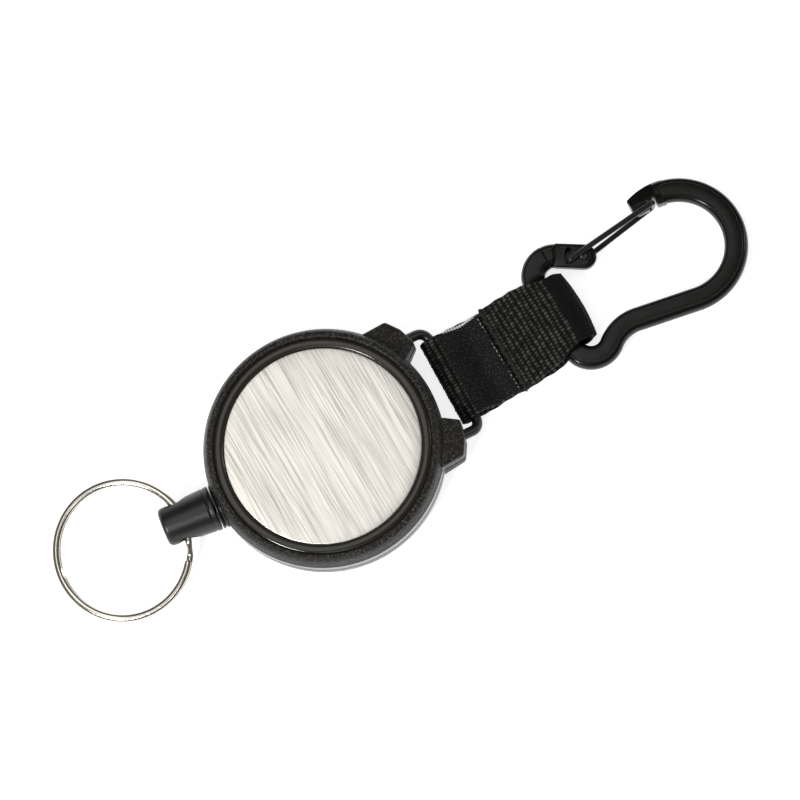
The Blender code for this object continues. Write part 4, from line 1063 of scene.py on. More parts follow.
@dataclass
class Case:
    """Front and rear shells with their lugs, the brushed face and its bezel."""

    layout: Layout
    wall: float = 3.0 * MM
    back_wall: float = 1.5 * MM
    back_edge_w: float = 4.0 * MM
    back_edge_h: float = 3.4 * MM
    lip: float = 1.2 * MM
    lip_h: float = 1.1 * MM
    rim_w: float = 2.45 * MM
    side_top: float = 9.4 * MM
    crest_in: float = 0.50 * MM
    crest_drop: float = 0.40 * MM
    recess: float = 1.7 * MM
    face_wall: float = 1.2 * MM
    edge_break: float = 0.18 * MM
    socket_sink: float = 0.6 * MM
    arbor_r: float = 2.4 * MM
    arbor_foot_r: float = 3.6 * MM
    bezel_w: float = 1.5 * MM
    plate_t: float = 0.6 * MM
    steps: int = 288
    fillet: float = 0.6 * MM
    mouth_up: float = radians(26.5)
    mouth_down: float = radians(33.5)
    leg_bend: float = 1.15 * MM
    pin_reach: float = 3.1 * MM
    dome_foot_in: float = 0.10 * MM
    dome_foot_up: float = 0.12 * MM
    rim_clear: float = 0.02 * MM
    bezel_overlap: float = 0.14 * MM
    bezel_rise: float = 0.82 * MM
    bezel_crown: float = 0.20 * MM
    bezel_roll: float = 0.14 * MM
    plate_roll: float = 0.14 * MM
    plate_fall: float = 0.11 * MM
    plate_brim: float = 2.4 * MM
    lug_break: float = 0.45 * MM
    lug_slope: float = 1.1 * MM
    lug_top: float = 11.2 * MM
    lug_bottom: float = 1.0 * MM

    def seat_cutter(self, name: str) -> Obj:
        """The stepped hole of the cord guide, a turned solid on the cord's line.

        Args:
            name: the cutter's name.

        Returns:
            The cutter.
        """
        wall = self.layout.guide_wall
        points = [(0, 3.8), (4.3, 3.8), (4.3, 5.2), (3.7, 5.2), (3.7, wall / MM - 0.3)]
        points += [(5.15, wall / MM - 0.3), (5.15, 12.0), (0, 12.0)]
        return lathe(name, np.array(points) * MM, 64, self.layout.exit_frame())

    def lug(self, name: str, side: int, seam: float, far: float, slope: float) -> Obj:
        """Half of a strap lug: a rounded prism whose far face falls away from the case.

        Args:
            name: name of the solid.
            side: 1 or -1 along Y.
            seam: height of the seam face.
            far: height of the far face at its root.
            slope: how far it falls by its outer corners.

        Returns:
            The solid.
        """
        root_r = self.layout.case_radius - self.lip
        root = arc((0, 0), root_r, np.arcsin(7.3 * MM / root_r), np.arcsin(16.4 * MM / root_r), 8)
        outer = np.array([(24.2, 16.4), (26.2, 13.4), (27.35, 9.5), (24.2, 7.3)]) * MM
        outline = np.concatenate([root, outer]) * (1, side)
        tops = np.array([far] * len(root) + [far - slope] * 3 + [far])
        return slab(name, outline, seam, tops, self.lug_break, 3)

    def mouth(self, name: str, side: int) -> Obj:
        """The slot of the bail's leg, a wedge that opens outwards, with its round pin hole.

        Args:
            name: the cutter's name.
            side: 1 for the lug at +Y, -1 for the other.

        Returns:
            The cutter.
        """
        layout = self.layout
        clear = layout.bail_wire + layout.gap
        up, down = self.mouth_up, self.mouth_down
        wedge = arc((0, 0), clear, pi / 2 + up, 3 * pi / 2 - down, 16)
        lower = wedge[-1] + layout.bail_length * np.array([cos(down), -sin(down)])
        upper = wedge[0] + layout.bail_length * np.array([cos(up), sin(up)])
        outline = np.concatenate([wedge, [lower, upper]])
        inner, outer = layout.bail_leg_y - clear, layout.bail_leg_y + self.leg_bend
        lay = Matrix(((1, 0, 0, layout.bail_x), (0, 0, side, 0), (0, 1, 0, layout.seam_height), (0, 0, 0, 1)))
        slot = placed(slab(name, outline, inner, outer), lay)
        end = layout.bail_leg_y + self.pin_reach
        pin = np.array([(0, inner), (clear, inner), (clear, end), (0, end)])
        return combined(slot, [("UNION", placed(lathe(f"{name}_pin", pin, 48), lay))])

    def with_lugs(self, shell: Obj, seam: float, far: float, slope: float) -> Obj:
        """The shell with its two half lugs, their mouths and the cord guide's seat.

        Args:
            shell: the turned shell.
            seam: height at which the lugs start.
            far: height of their far side.
            slope: how far that side slopes.

        Returns:
            The shell.
        """
        steps = []
        for side, tag in ((1, "left"), (-1, "right")):
            steps.append(("UNION", self.lug(f"{shell.name}_lug_{tag}", side, seam, far, slope)))
            steps.append(("DIFFERENCE", self.mouth(f"{shell.name}_mouth_{tag}", side)))
        steps.append(("DIFFERENCE", self.seat_cutter(f"{shell.name}_seat")))
        return combined(shell, steps, 28.0)

    def front(self) -> Obj:
        """The upper shell: smooth side wall, domed rim by powers of the way out and in, recess and hollow.

        Returns:
            The shell.
        """
        layout = self.layout
        radius, top, gap = layout.case_radius, layout.case_height, layout.gap
        cavity = radius - self.wall
        seam = layout.seam_height + gap / 2
        lip_top = layout.seam_height + self.lip_h + gap
        lip_r = cavity + self.lip + gap
        floor = top - self.recess
        ceiling = floor - self.face_wall
        socket, fillet = self.arbor_r + gap, self.fillet
        inside = [(0, ceiling + self.socket_sink), (socket, ceiling + self.socket_sink), (socket, ceiling)]
        inside += [(cavity - fillet, ceiling), (cavity, ceiling - fillet), (cavity, lip_top),
                   (lip_r, lip_top)]
        inside += [(lip_r, seam)]
        edge = arc((radius - self.edge_break, seam + self.edge_break), self.edge_break, -pi / 2, 0, 4)
        inner = radius - self.rim_w
        crest = inner + self.crest_in
        out = np.linspace(1, 0, 30)
        foot = radius - self.dome_foot_in - crest
        dome = together(crest + foot * out, top - (top - self.side_top - self.dome_foot_up) * out**3.2)
        back = np.linspace(0, 1, 12)[1:]
        fall = together(crest - self.crest_in * back, top - self.crest_drop * back**2.4)
        profile = np.concatenate([inside, edge, [(radius, self.side_top)], dome, fall,
                                  [(inner, floor), (0, floor)]])
        return self.with_lugs(lathe("front_shell", profile, self.steps), seam, self.lug_top, self.lug_slope)

    def rear(self) -> Obj:
        """The lower shell: flat back, a quarter ellipse to the side, the seam lip and the arbor's seat.

        Returns:
            The shell.
        """
        layout = self.layout
        radius, gap = layout.case_radius, layout.gap
        cavity = radius - self.wall
        seam = layout.seam_height - gap / 2
        flat = radius - self.back_edge_w
        turn = np.linspace(0, pi / 2, 17)
        edge = together(flat + self.back_edge_w * np.sin(turn), self.back_edge_h * (1 - np.cos(turn)))
        brk = arc((radius - self.edge_break, seam - self.edge_break), self.edge_break, 0, pi / 2, 4)
        lip_top = layout.seam_height + self.lip_h
        seat, fillet = self.arbor_foot_r + gap, self.fillet
        inside = [(cavity + self.lip, seam), (cavity + self.lip, lip_top), (cavity, lip_top)]
        inside += [(cavity, self.back_wall + fillet), (cavity - fillet, self.back_wall),
                   (seat, self.back_wall)]
        inside += [(seat, self.back_wall - self.socket_sink), (0, self.back_wall - self.socket_sink)]
        profile = np.concatenate([[(0, 0)], edge, brk, inside])
        return self.with_lugs(lathe("rear_shell", profile, self.steps), seam, self.lug_bottom,
                              -self.lug_slope)

    def bezel(self) -> Obj:
        """The polished ring: a low crown, a parabola across, with both edges rolled over.

        Returns:
            The ring.
        """
        outer = self.layout.case_radius - self.rim_w - self.rim_clear
        inner = self.layout.case_radius - self.rim_w - 2 * self.layout.gap - self.bezel_w + self.bezel_overlap
        low = self.layout.case_height - self.recess + self.layout.gap
        across = np.linspace(-1, 1, 41)
        rise = self.bezel_rise + self.bezel_crown * (1 - across**2) - self.bezel_roll * np.abs(across) ** 14
        top = together((outer + inner) / 2 - (outer - inner) / 2 * across, low + rise)
        profile = np.concatenate([[(inner, low), (outer, low)], top, [(inner, low)]])
        return lathe("bezel_ring", profile, self.steps)

    def plate(self) -> Obj:
        """The face disc, which falls away a little towards its rolled edge.

        Returns:
            The disc.
        """
        radius = self.layout.case_radius - self.rim_w - 2 * self.layout.gap - self.bezel_w
        low = self.layout.case_height - self.recess + self.layout.gap
        roll, fall, brim = self.plate_roll, self.plate_fall, self.plate_brim
        edge = arc((radius - roll, low + self.plate_t - fall - roll), roll, 0, radians(78), 5)
        near = np.linspace(radius - 1.6 * roll, radius - brim, 12)
        rings = np.concatenate([near, np.linspace(radius - 1.3 * brim, 0, 8)])
        drop = fall * np.clip((rings - radius + brim) / brim, 0, 1) ** 2
        inner = together(rings, low + self.plate_t - drop)
        return lathe("brushed_face", np.concatenate([[(0, low), (radius, low)], edge, inner]), self.steps)

    def build(self, effects: Effects) -> None:
        """Builds and dresses the four pieces.

        Args:
            effects: the shared node groups.
        """
        moulding = MouldedFinish("black_moulding").build(effects)
        gloss = SmoothFinish("bezel_gloss", colour=(0.017, 0.0155, 0.010), roughness=0.14,
                             worn=0.25).build(effects)
        steel = BrushedFinish("brushed_plate").build(effects)
        dress(self.front(), "case", Slot.MOULDING, moulding, "front_case")
        dress(self.rear(), "case", Slot.MOULDING, moulding, "rear_case")
        dress(self.bezel(), "case", Slot.BEZEL, gloss, "face_bezel")
        dress(self.plate(), "case", Slot.PLATE, steel, "face_plate")


@dataclass
class CordEnd:
    """The guide in the case's wall, the cord's end, the bell and the key ring."""

    layout: Layout
    guide_inner: float = 4.1 * MM
    cord_d: float = 1.0 * MM
    bell_length: float = 11.5 * MM
    bell_wide: float = 4.85 * MM
    bell_slim: float = 4.05 * MM
    bell_round: float = 1.0 * MM
    hole_along: float = 7.45 * MM
    chamber: float = 2.6 * MM
    chamber_r: float = 2.0 * MM
    throat_r: float = 0.9 * MM
    tail_held: float = 0.2 * MM
    hole_r: float = 2.1 * MM
    ring_r: float = 14.2 * MM
    wire_w: float = 1.5 * MM
    wire_t: float = 0.95 * MM
    turn_gap: float = 0.35 * MM
    ring_rise: float = radians(8.9)
    ring_lean: float = radians(4.6)
    ring_heading: float = radians(174.3)
    tip_angle: float = radians(-40)
    sweep: float = radians(685)
    step_start: float = radians(343)
    step_end: float = radians(357)

    def bell_start(self) -> float:
        """Distance along the cord's line at which the bell begins."""
        return self.layout.guide_wall + self.layout.collar + self.layout.gap

    def ring_axes(self) -> tuple[Vector, Vector, Vector]:
        """Directions of the ring's plane: towards its middle, across, and its normal.

        Returns:
            The three directions.
        """
        normal = Vector((-np.tan(self.ring_rise), -np.tan(self.ring_lean), 1)).normalized()
        heading = Vector((cos(self.ring_heading), sin(self.ring_heading), 0))
        heading.z = -(normal.x * heading.x + normal.y * heading.y) / normal.z
        heading.normalize()
        return heading, normal.cross(heading), normal

    def guide(self) -> Obj:
        """The flared bush, whose collar outside the case has one groove between two rounded ribs.

        Returns:
            The bush.
        """
        wall, collar = self.layout.guide_wall, self.layout.collar
        end = wall + collar
        start = self.guide_inner
        mm = [(2.7, start), (4.0, start), (4.0, start + 0.8 * MM), (3.4, start + 0.8 * MM), (3.4, wall)]
        back = [(r * MM, s) for r, s in mm]
        share = np.linspace(0, 1, 37)
        groove = 0.45 * MM * np.exp(-((share - 0.52) / 0.13) ** 2)
        ends = 0.12 * MM * (np.exp(-(share / 0.06) ** 2) + np.exp(-((1 - share) / 0.06) ** 2))
        ribs = together(4.85 * MM - groove - ends, wall + collar * share)
        flare = np.linspace(0, 1, 9)
        mouth = together(1.25 * MM + 0.75 * MM * (1 - flare) ** 2, end - collar * flare)
        inner = together(1.25 * MM + 1.45 * MM * flare ** 2, start + (wall - 1.2 * MM - start) * (1 - flare))
        profile = np.concatenate([back, ribs, mouth, inner, back[:1]])
        return lathe("cord_guide_bush", profile, 128, self.layout.exit_frame())

    def tail_span(self) -> tuple[float, float]:
        """Distances along the cord's line at which its tail starts and ends."""
        start = (self.guide_inner + self.layout.guide_wall + self.layout.collar) / 2 + self.layout.gap
        return start, self.bell_start() + self.chamber

    def tail(self) -> Obj:
        """The cord from the guide to the ferrule: a straight tube along the exit line.

        Returns:
            The cord.
        """
        path = np.linspace(*self.tail_span(), 25)[:, None] * np.array(self.layout.exit_line())
        path = np.array(self.layout.exit_spot()) + path
        return tube("cord_tail_braid", path, self.cord_d / 2, UP, 16)

    def ends_of_tail(self) -> tuple[tuple[float, ...], tuple[float, ...]]:
        """The points between which the cord's tail stretches: just inside its two ends.

        Returns:
            The two points.
        """
        line, origin = self.layout.exit_line(), Vector(self.layout.exit_spot())
        start, end = self.tail_span()
        return tuple(origin + line * (start + self.tail_held)), tuple(origin + line * (end - self.tail_held))

    def bell(self) -> Obj:
        """The tapered sleeve: a cone with a lip line near the case, a rounded end and a flared cross hole.

        Returns:
            The sleeve.
        """
        start, length = self.bell_start(), self.bell_length

        def radius(along: Array | float) -> Array:
            """Outer radius, falling evenly from the wide end."""
            return self.bell_wide + (self.bell_slim - self.bell_wide) * along / length

        deep, step = start + self.hole_along, start + self.chamber
        inside = [(0, deep), (self.chamber_r, deep), (self.chamber_r, step), (self.throat_r, step),
                  (self.throat_r, start)]
        brk = 0.3 * MM
        lip = arc((float(radius(0)) - brk, start + brk), brk, -pi / 2, 0, 6)
        along = np.linspace(0.45 * MM, length - self.bell_round, 90)
        line = 0.16 * MM * np.exp(-((along - 1.15 * MM) / (0.13 * MM)) ** 2)
        cone = together(radius(along) - line, start + along)
        end_r = float(radius(length - self.bell_round))
        nose = arc((end_r - self.bell_round, start + length - self.bell_round), self.bell_round, 0, pi / 2,
                   12)
        dish = [(0.6 * end_r, start + length), (0, start + length)]
        body = lathe("bell_sleeve", np.concatenate([inside, lip, cone, nose[1:], dish]), 128)
        half, hole, flare = self.bell_wide, self.hole_r, 0.5 * MM
        bulge = np.linspace(0, pi / 2, 9)
        low = together(hole + flare * (1 - np.sin(bulge)), -half + flare * (3 - 2 * np.cos(bulge)))
        low = np.concatenate([[(0, -half - 2 * MM), (hole + flare, -half - 2 * MM)], low])
        cutter = lathe("bell_hole", np.concatenate([low, low[::-1] * (1, -1)]), 64)
        across = Matrix.Rotation(pi / 2, 4, "X")
        cutter.data.transform(Matrix.Translation((0, 0, start + self.hole_along)) @ across)
        body = combined(body, [("DIFFERENCE", cutter)], 40.0)
        ahead = self.layout.exit_line()
        hole_axis = self.ring_axes()[2].cross(ahead).normalized()
        if hole_axis.y < 0:
            hole_axis.negate()
        return placed(body, axes_at(self.layout.exit_spot(), hole_axis.cross(ahead), hole_axis, ahead))

    def ring(self) -> Obj:
        """Two turns of flat wire: a circle whose height steps down once, with blunt tips.

        Returns:
            The ring.
        """
        heading, across, normal = self.ring_axes()
        hole = Vector(self.layout.exit_spot())
        hole += self.layout.exit_line() * (self.bell_start() + self.hole_along)
        half_bell = self.bell_wide + (self.bell_slim - self.bell_wide) * self.hole_along / self.bell_length
        offset = self.ring_r - (self.ring_r - sqrt(self.ring_r**2 - half_bell**2)) / 2
        level = (self.wire_t + self.turn_gap) / 2
        turn = np.linspace(0, self.sweep, 520)
        angle = self.tip_angle - atan2(heading.y, heading.x) - turn
        drop = 2 * level * smoothstep((turn - self.step_start) / (self.step_end - self.step_start))
        path = together(offset + self.ring_r * np.cos(angle), self.ring_r * np.sin(angle), level - drop)
        half_w, half_t = self.wire_w / 2, self.wire_t / 2
        crown = np.linspace(0.93, -0.93, 13)
        upper = together(crown * half_w, half_t * (1 - 0.62 * crown**2))
        edge = np.array([(-half_w, 0.24 * half_t), (-half_w, -0.24 * half_t)])
        shape = np.concatenate([upper, edge, -upper, -edge])
        from_end = np.minimum(run_length(path), run_length(path)[-1] - run_length(path))
        blunt = np.sqrt(np.clip(1 - (1 - np.clip(from_end / (0.5 * MM), 0, 1)) ** 2, 0.09, 1))
        section = shape[None] * blunt[:, None, None]
        grid = with_caps(closed_round(carried(path, section, UP)))
        return placed(surface("split_key_ring", grid), axes_at(tuple(hole), heading, across, normal))

    def build(self, effects: Effects) -> None:
        """Builds and dresses the pieces from the guide to the ring.

        Args:
            effects: the shared node groups.
        """
        acetal = SmoothFinish("guide_acetal", colour=(0.011, 0.011, 0.011), roughness=0.32).build(effects)
        rubber = SmoothFinish("bell_rubber", colour=(0.0085, 0.0085, 0.0075), roughness=0.31,
                              texture=5200.0, depth=0.000014,
                              worn=0.2).build(effects)
        nickel = MetalFinish("nickel_wire", (0.86, 0.81, 0.72), 0.12).build(effects)
        braid = YarnFinish("aramid_cord", (0.012, 0.012, 0.012), (0.05, 0.05, 0.05)).build(effects)
        dress(self.guide(), "case", Slot.GUIDE, acetal, "cord_guide")
        dress(self.bell(), "bell", Slot.BELL, rubber, "bell")
        dress(self.ring(), "key_ring", Slot.NICKEL, nickel, "key_ring")
        tail = self.tail()
        coat(tail, braid)
        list(self.ends_of_tail())
        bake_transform(tail)
        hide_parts("cord_tail")
        LOG.info("%s: %d faces between case and cord_end", tail.name, len(tail.data.polygons))
        coat(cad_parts["cord_ferrule"], nickel)


@dataclass
class Bail:
    """The black wire loop between the case's lugs."""

    layout: Layout
    corner: float = 2.2 * MM
    wire: float = 1.1 * MM
    pin_bend: float = 1.15 * MM
    pin: float = 2.8 * MM

    def loop(self) -> Obj:
        """A round wire along a U whose ends turn outwards into the lugs, with rounded corners.

        Returns:
            The loop.
        """
        leg, length = self.layout.bail_leg_y, self.layout.bail_length
        tip = leg + self.pin
        quarter_out = rounded([(0, tip, 0), (0, leg, 0), (length / 2, leg, 0)], self.pin_bend, 12)
        corner_high = rounded([(length / 2, leg, 0), (length, leg, 0), (length, 0, 0)], self.corner, 16)
        half = np.concatenate([quarter_out[:-1], corner_high])
        path = resample(np.concatenate([half, half[::-1][1:] * (1, -1, 1)]), 0.3 * MM)
        return placed(tube("bail_loop", path, self.wire, UP, 28), self.layout.bail_frame())

    def build(self, effects: Effects) -> None:
        """Builds and dresses the loop."""
        wire = SmoothFinish("black_wire", colour=(0.016, 0.016, 0.016), roughness=0.33,
                            worn=0.5).build(effects)
        dress(self.loop(), "bail", Slot.BLACK_WIRE, wire, "bail")


@dataclass
class Strap:
    """One strip of webbing sewn into two eyes, its label and stitches, along X from the crossbar."""

    layout: Layout
    width: float = 19.05 * MM
    fold_width: float = 15.5 * MM
    sewn_x: float = 8.0 * MM
    end_x: float = 12.2 * MM
    inner_end_x: float = 17.2 * MM
    narrow_x: float = 19.0 * MM
    fold_x: float = 26.65 * MM
    layer_gap: float = 0.1 * MM
    rib_pitch: float = 1.24 * MM
    bump_pitch: float = 0.76 * MM
    rib_height: float = 0.34 * MM
    skew: float = 0.032
    fold_bulge: float = 0.75 * MM
    step: float = 0.19 * MM
    columns: int = 104
    label_start: float = 1.2 * MM
    label_end: float = 11.2 * MM
    label_width: float = 18.6 * MM

    def top(self, x: Array) -> Array:
        """Height of the strap's upper surface above the crossbar, before the sewn end.

        Args:
            x: places along the strap.

        Returns:
            The height at each.
        """
        thick = self.layout.webbing
        high = self.layout.bail_eye + thick
        sewn = 2 * thick + self.layer_gap - high
        return high + (sewn - high) * smoothstep(x / self.sewn_x)

    def over(self, x: Array) -> Array:
        """Height of the upper layer, from its sewn end to the fold round the carabiner.

        Args:
            x: places along the strap.

        Returns:
            The height at each.
        """
        thick = self.layout.webbing
        sewn = 3 * thick + 2 * self.layer_gap - self.layout.bail_eye - thick
        fold = 2 * (self.layout.bar_eye + thick) - self.layout.bail_eye - thick
        return sewn + (fold - sewn) * smoothstep((x - self.end_x) / (self.fold_x - self.end_x))

    def half_width(self, x: Array) -> Array:
        """Half of the strap's width, narrower in the carabiner.

        Args:
            x: places along the strap.

        Returns:
            Half of the width at each.
        """
        share = smoothstep((x - self.narrow_x) / (self.fold_x - self.narrow_x))
        corner = 0.25 * MM * smoothstep((x - self.fold_x - 0.8 * MM) / (2.8 * MM)) ** 2
        return self.width / 2 + (self.fold_width - self.width) / 2 * share - corner

    def centreline(self) -> Array:
        """Middle of the strip: over the bail, back along the table, round the bar and up to the sewn end.

        Returns:
            The points of the path.
        """
        half = self.layout.webbing / 2
        eye = self.layout.bail_eye + half
        fold = self.layout.bar_eye + half
        fold_z = fold - eye
        first = np.linspace(self.inner_end_x, 0, 80)
        first = together(first, self.top(first) - half)
        round_bail = arc((0, 0), eye, pi / 2, 3 * pi / 2, 40)
        round_bar = arc((self.fold_x, fold_z), fold, -pi / 2, pi / 2, 60)
        last = np.linspace(self.fold_x, self.end_x, 80)
        last = together(last, self.over(last) - half)
        flat = np.concatenate([first, round_bail, round_bar, last])
        path = resample(flat, self.step)
        return together(path[:, 0], np.zeros(len(path)), path[:, 1])

    def settled(self, points: Array) -> Array:
        """Skews the eye on the bail and bulges the fold in the carabiner, as the worn strap lies.

        Args:
            points: places of a grid, from the crossbar.

        Returns:
            The grid with X moved by a share of Y near the bail, and by a parabola across near the far fold.
        """
        moved = points.copy()
        x, y = points[..., 0], points[..., 1]
        near = 1 - smoothstep((x - 1.0 * MM) / (9.0 * MM))
        far = smoothstep((x - self.fold_x + 1.0 * MM) / (3.0 * MM))
        moved[..., 0] += near * self.skew * y + far * self.fold_bulge * (1 - (2 * y / self.fold_width) ** 2)
        return moved

    def relief(self, along: Array, across: Array, calm: Array) -> Array:
        """Height of the weave from 0 to 1: rows of bumps, each row shifted half a bump from the last.

        Args:
            along: distance along the strip.
            across: distance across it.
            calm: how far the rows flatten, from 0 to 1.

        Returns:
            The root of the sine of the row times a power of the sine of the bump, less where it is calm.
        """
        row = np.floor(along / self.rib_pitch)
        wander = 0.07 * MM * np.sin(across * 900 + row * 2.1) + 0.05 * MM * np.sin(across * 2300 + row * 1.3)
        row_share = (along + wander) / self.rib_pitch
        ridge = np.abs(np.sin(pi * row_share)) ** 0.55
        shift = 0.5 * (np.floor(row_share) % 2)
        bump = np.abs(np.sin(pi * (across / self.bump_pitch + shift))) ** 0.6
        place = np.floor(across / self.bump_pitch + shift)
        chance = (np.sin(np.floor(row_share) * 12.99 + place * 78.23) * 43758.5) % 1.0
        bump = bump * (0.55 + 0.45 * chance)
        uneven = 1 - 0.14 * np.sin(across * 3700 + row * 4.7) * np.sin(row * 2.9)
        return (0.30 + 0.70 * bump) * ridge * uneven * (1 - calm) + calm * (0.72 + 0.2 * bump * ridge)

    def section(self, half: Array, thick: Array, edge: int = 8) -> tuple[Array, Array]:
        """A flat section with half round edges.

        Args:
            half: half width at each row.
            thick: half thickness at each row.
            edge: points round each edge.

        Returns:
            Across values, and the share of the thickness from -1 to 1, for each row and column.
        """
        turn = np.linspace(pi / 2, -pi / 2, edge + 2)[1:-1]
        flat = np.linspace(-1, 1, self.columns)
        side = np.concatenate([flat, np.ones(edge), -flat, -np.ones(edge)])
        bulge = np.concatenate([flat * 0, np.cos(turn), flat * 0, -np.cos(turn)])
        level = np.concatenate([np.ones(self.columns), np.sin(turn), -np.ones(self.columns), -np.sin(turn)])
        across = side[None] * (half - thick)[:, None] + bulge[None] * thick[:, None]
        return across, np.broadcast_to(level, across.shape)

    def skin(self, name: str, grid: Array, along: Array, across: Array, angle: float,
             shade_lift: Array | None = None) -> Obj:
        """A closed tube of cloth from its grid, whose UV holds metres along and across.

        Args:
            name: name of the piece.
            grid: (rows, columns, 3) points, not yet closed.
            along: distance along at each row.
            across: distance across at each row and column.
            angle: edges sharper than this many degrees stay sharp.
            shade_lift: height of the weave from 0 to 1, lowered in the folds, which the finish turns into
                painted shade and painted highlight.

        Returns:
            The object.
        """
        rows = np.r_[0, np.arange(len(along)), len(along) - 1]
        uv = closed_round(together(along[:, None], across))[rows]
        kept = None if shade_lift is None else closed_round(shade_lift[..., None])[rows][..., 0]
        return surface(name, with_caps(closed_round(grid)), uv, angle, kept)

    def thread(self, path: Array, thick: Array) -> Array:
        """The grid of a round thread along a path, with its own radius at each point."""
        return with_caps(closed_round(carried(path, circle(1.0, 8)[None] * thick[:, None, None], UP)))

    def strip(self) -> Obj:
        """The strip's skin: a flat section carried along the centreline and lifted by the weave.

        Returns:
            The strip.
        """
        path = self.centreline()
        along = run_length(path)
        wobble = 0.10 * MM * np.sin(along * 700) + 0.06 * MM * np.sin(along * 1900 + 1.0)
        base = np.full(len(path), self.layout.webbing / 2 - self.rib_height - 0.02 * MM)
        across, level = self.section(self.half_width(path[:, 0]) + wobble, base)
        right = smoothstep((path[:, 0] - self.fold_x + 0.6 * MM) / (1.2 * MM))
        left = smoothstep((-1.9 * MM - path[:, 0]) / (0.7 * MM))
        calm = 0.75 * (right + left)[:, None]
        weave = self.relief(along[:, None], across, calm)
        from_end = np.minimum(along, along[-1] - along)[:, None]
        pinch = 0.3 + 0.7 * smoothstep(from_end / (0.9 * MM))
        upright = (level * base[:, None] + np.sign(level) * np.abs(level) * self.rib_height * weave) * pinch
        grid = self.settled(carried(path, together(upright, across), ACROSS))
        # The values kept for the finish are the weave's height, lowered where the strip folds round the bail
        # and the bar: the finish paints shade in the hollows and in these folds and a highlight on the tops.
        return self.skin("webbing_strip", grid, along, across, 75.0, weave * (1 - 0.6 * calm))

    def label(self) -> Obj:
        """The woven label: a thin sheet over the strap, whose far edge curls in along its middle.

        Returns:
            The label.
        """
        x = np.linspace(self.label_start, self.label_end, 90)
        share = (x - x[0]) / (x[-1] - x[0])
        thick = np.full(len(x), 0.15 * MM)
        across, level = self.section(np.full(len(x), self.label_width / 2), thick, 4)
        inward = 0.72 * MM * np.sin(pi * np.clip((share - 0.06) / 0.9, 0, 1))[:, None] ** 0.5
        far = np.clip(across / (self.label_width / 2), 0, 1) ** 6
        across = across - far * inward
        ripple = 0.05 * MM * np.sin(across * 900 + x[:, None] * 700) * np.sin(x[:, None] * 1300)
        curl = 0.10 * MM * far * np.sin(pi * share[:, None])
        tuck = -0.12 * MM * smoothstep((share[:, None] - 0.95) / 0.05) + curl
        upright = level * thick[:, None] + ripple + tuck
        path = together(x, x * 0, self.top(x) + 0.30 * MM)
        grid = self.settled(carried(path, together(-upright, across), ACROSS))
        return self.skin("woven_label", grid, x, across, 60.0)

    def selvedge(self) -> Obj:
        """The pale woven edge that shows beside the curled label: a lumpy thin band of loops.

        Returns:
            The band.
        """
        x = np.linspace(self.label_start + 1.6 * MM, self.label_end - 0.2 * MM, 150)
        share = (x - x[0]) / (x[-1] - x[0])
        half = 0.27 * MM * np.sin(pi * (0.06 + 0.88 * share)) ** 0.45
        loops = 0.13 * MM * np.sin(x * 2 * pi / (0.62 * MM))
        loops = loops + 0.06 * MM * np.sin(x * 2 * pi / (0.37 * MM) + 1.0)
        middle = self.label_width / 2 - 0.30 * MM + 0.10 * MM * np.sin(pi * share * 3)
        turn = np.linspace(0, 2 * pi, 17)[:-1]
        across = middle[:, None] + (half + loops)[:, None] * np.cos(turn)[None]
        upright = (0.16 * MM + 0.3 * loops)[:, None] * np.sin(turn)[None]
        path = together(x, x * 0, self.top(x) + 0.16 * MM)
        grid = carried(path, together(upright, across), ACROSS)
        return self.skin("label_selvedge", grid, x, across, 75.0)

    def stitches(self, name: str, x: float, height: float, reach: float, pitch: float, size: float,
                 seed: int) -> Obj:
        """A row of short stitches across the strap, each a small arched thread, joined into one piece.

        Args:
            name: name of the piece.
            x: place along the strap.
            height: height that the threads lie at.
            reach: the row runs from minus this to this across the strap.
            pitch: distance between stitches.
            size: radius of the thread.
            seed: start of the random draws.

        Returns:
            The object.
        """
        draw = np.random.default_rng(seed)
        places = np.arange(-reach, reach, pitch)
        grids = []
        for place in places:
            length = pitch * draw.uniform(0.45, 0.8)
            lean = draw.uniform(-0.18, 0.18)
            share = np.linspace(0, 1, 9)
            path = together(x + lean * length * (share - 0.5) + draw.uniform(-0.06, 0.06) * MM * np.ones(9),
                             place + length * share, height + 0.9 * size * np.sin(pi * share) - 0.5 * size)
            grids.append(self.thread(path, size * (0.55 + 0.45 * np.sin(pi * np.linspace(0.08, 0.92, 9)))))
        return many(name, grids)

    def end_roll(self) -> Obj:
        """The heat-cut end of the strip: a low uneven ridge across the strap.

        Returns:
            The ridge.
        """
        y = np.linspace(-self.width / 2 - 0.35 * MM, self.width / 2 + 0.25 * MM, 130)
        uneven = 0.10 * MM * np.sin(y * 2600) + 0.08 * MM * np.sin(y * 5100 + 2.0)
        path = together(self.end_x + 0.05 * MM + uneven, y, 0.78 * MM + 0.4 * uneven)
        turn = np.linspace(0, 2 * pi, 19)[:-1]
        share = (y - y[0]) / (y[-1] - y[0])
        size = (0.52 * MM + 0.06 * MM * np.sin(y * 3900 + 1.0)) * np.sin(pi * (0.05 + 0.9 * share)) ** 0.25
        section = together(np.cos(turn), 1.05 * np.sin(turn))[None] * size[:, None, None]
        grid = carried(path, section, UP)
        return self.skin("webbing_cut_end", grid, y, grid[..., 2], 75.0)

    def tuft(self) -> Obj:
        """Loose thread ends beside the cut end: short tapering curls that droop.

        Returns:
            The thread ends as one piece.
        """
        draw = np.random.default_rng(11)
        grids = []
        for _ in range(9):
            share = np.linspace(0, 1, 10)
            reach = draw.uniform(0.5, 1.15) * MM
            sway = draw.uniform(-0.5, 0.5) * MM
            start = self.end_x + draw.uniform(-0.35, 0.45) * MM
            path = together(start + sway * share**2, -self.width / 2 - reach * share + 0.2 * MM,
                             (0.75 + draw.uniform(-0.25, 0.25)) * MM - 0.4 * MM * share**2)
            grids.append(self.thread(path, 0.11 * MM * (1 - 0.55 * share)))
        return many("strap_thread_tuft", grids)

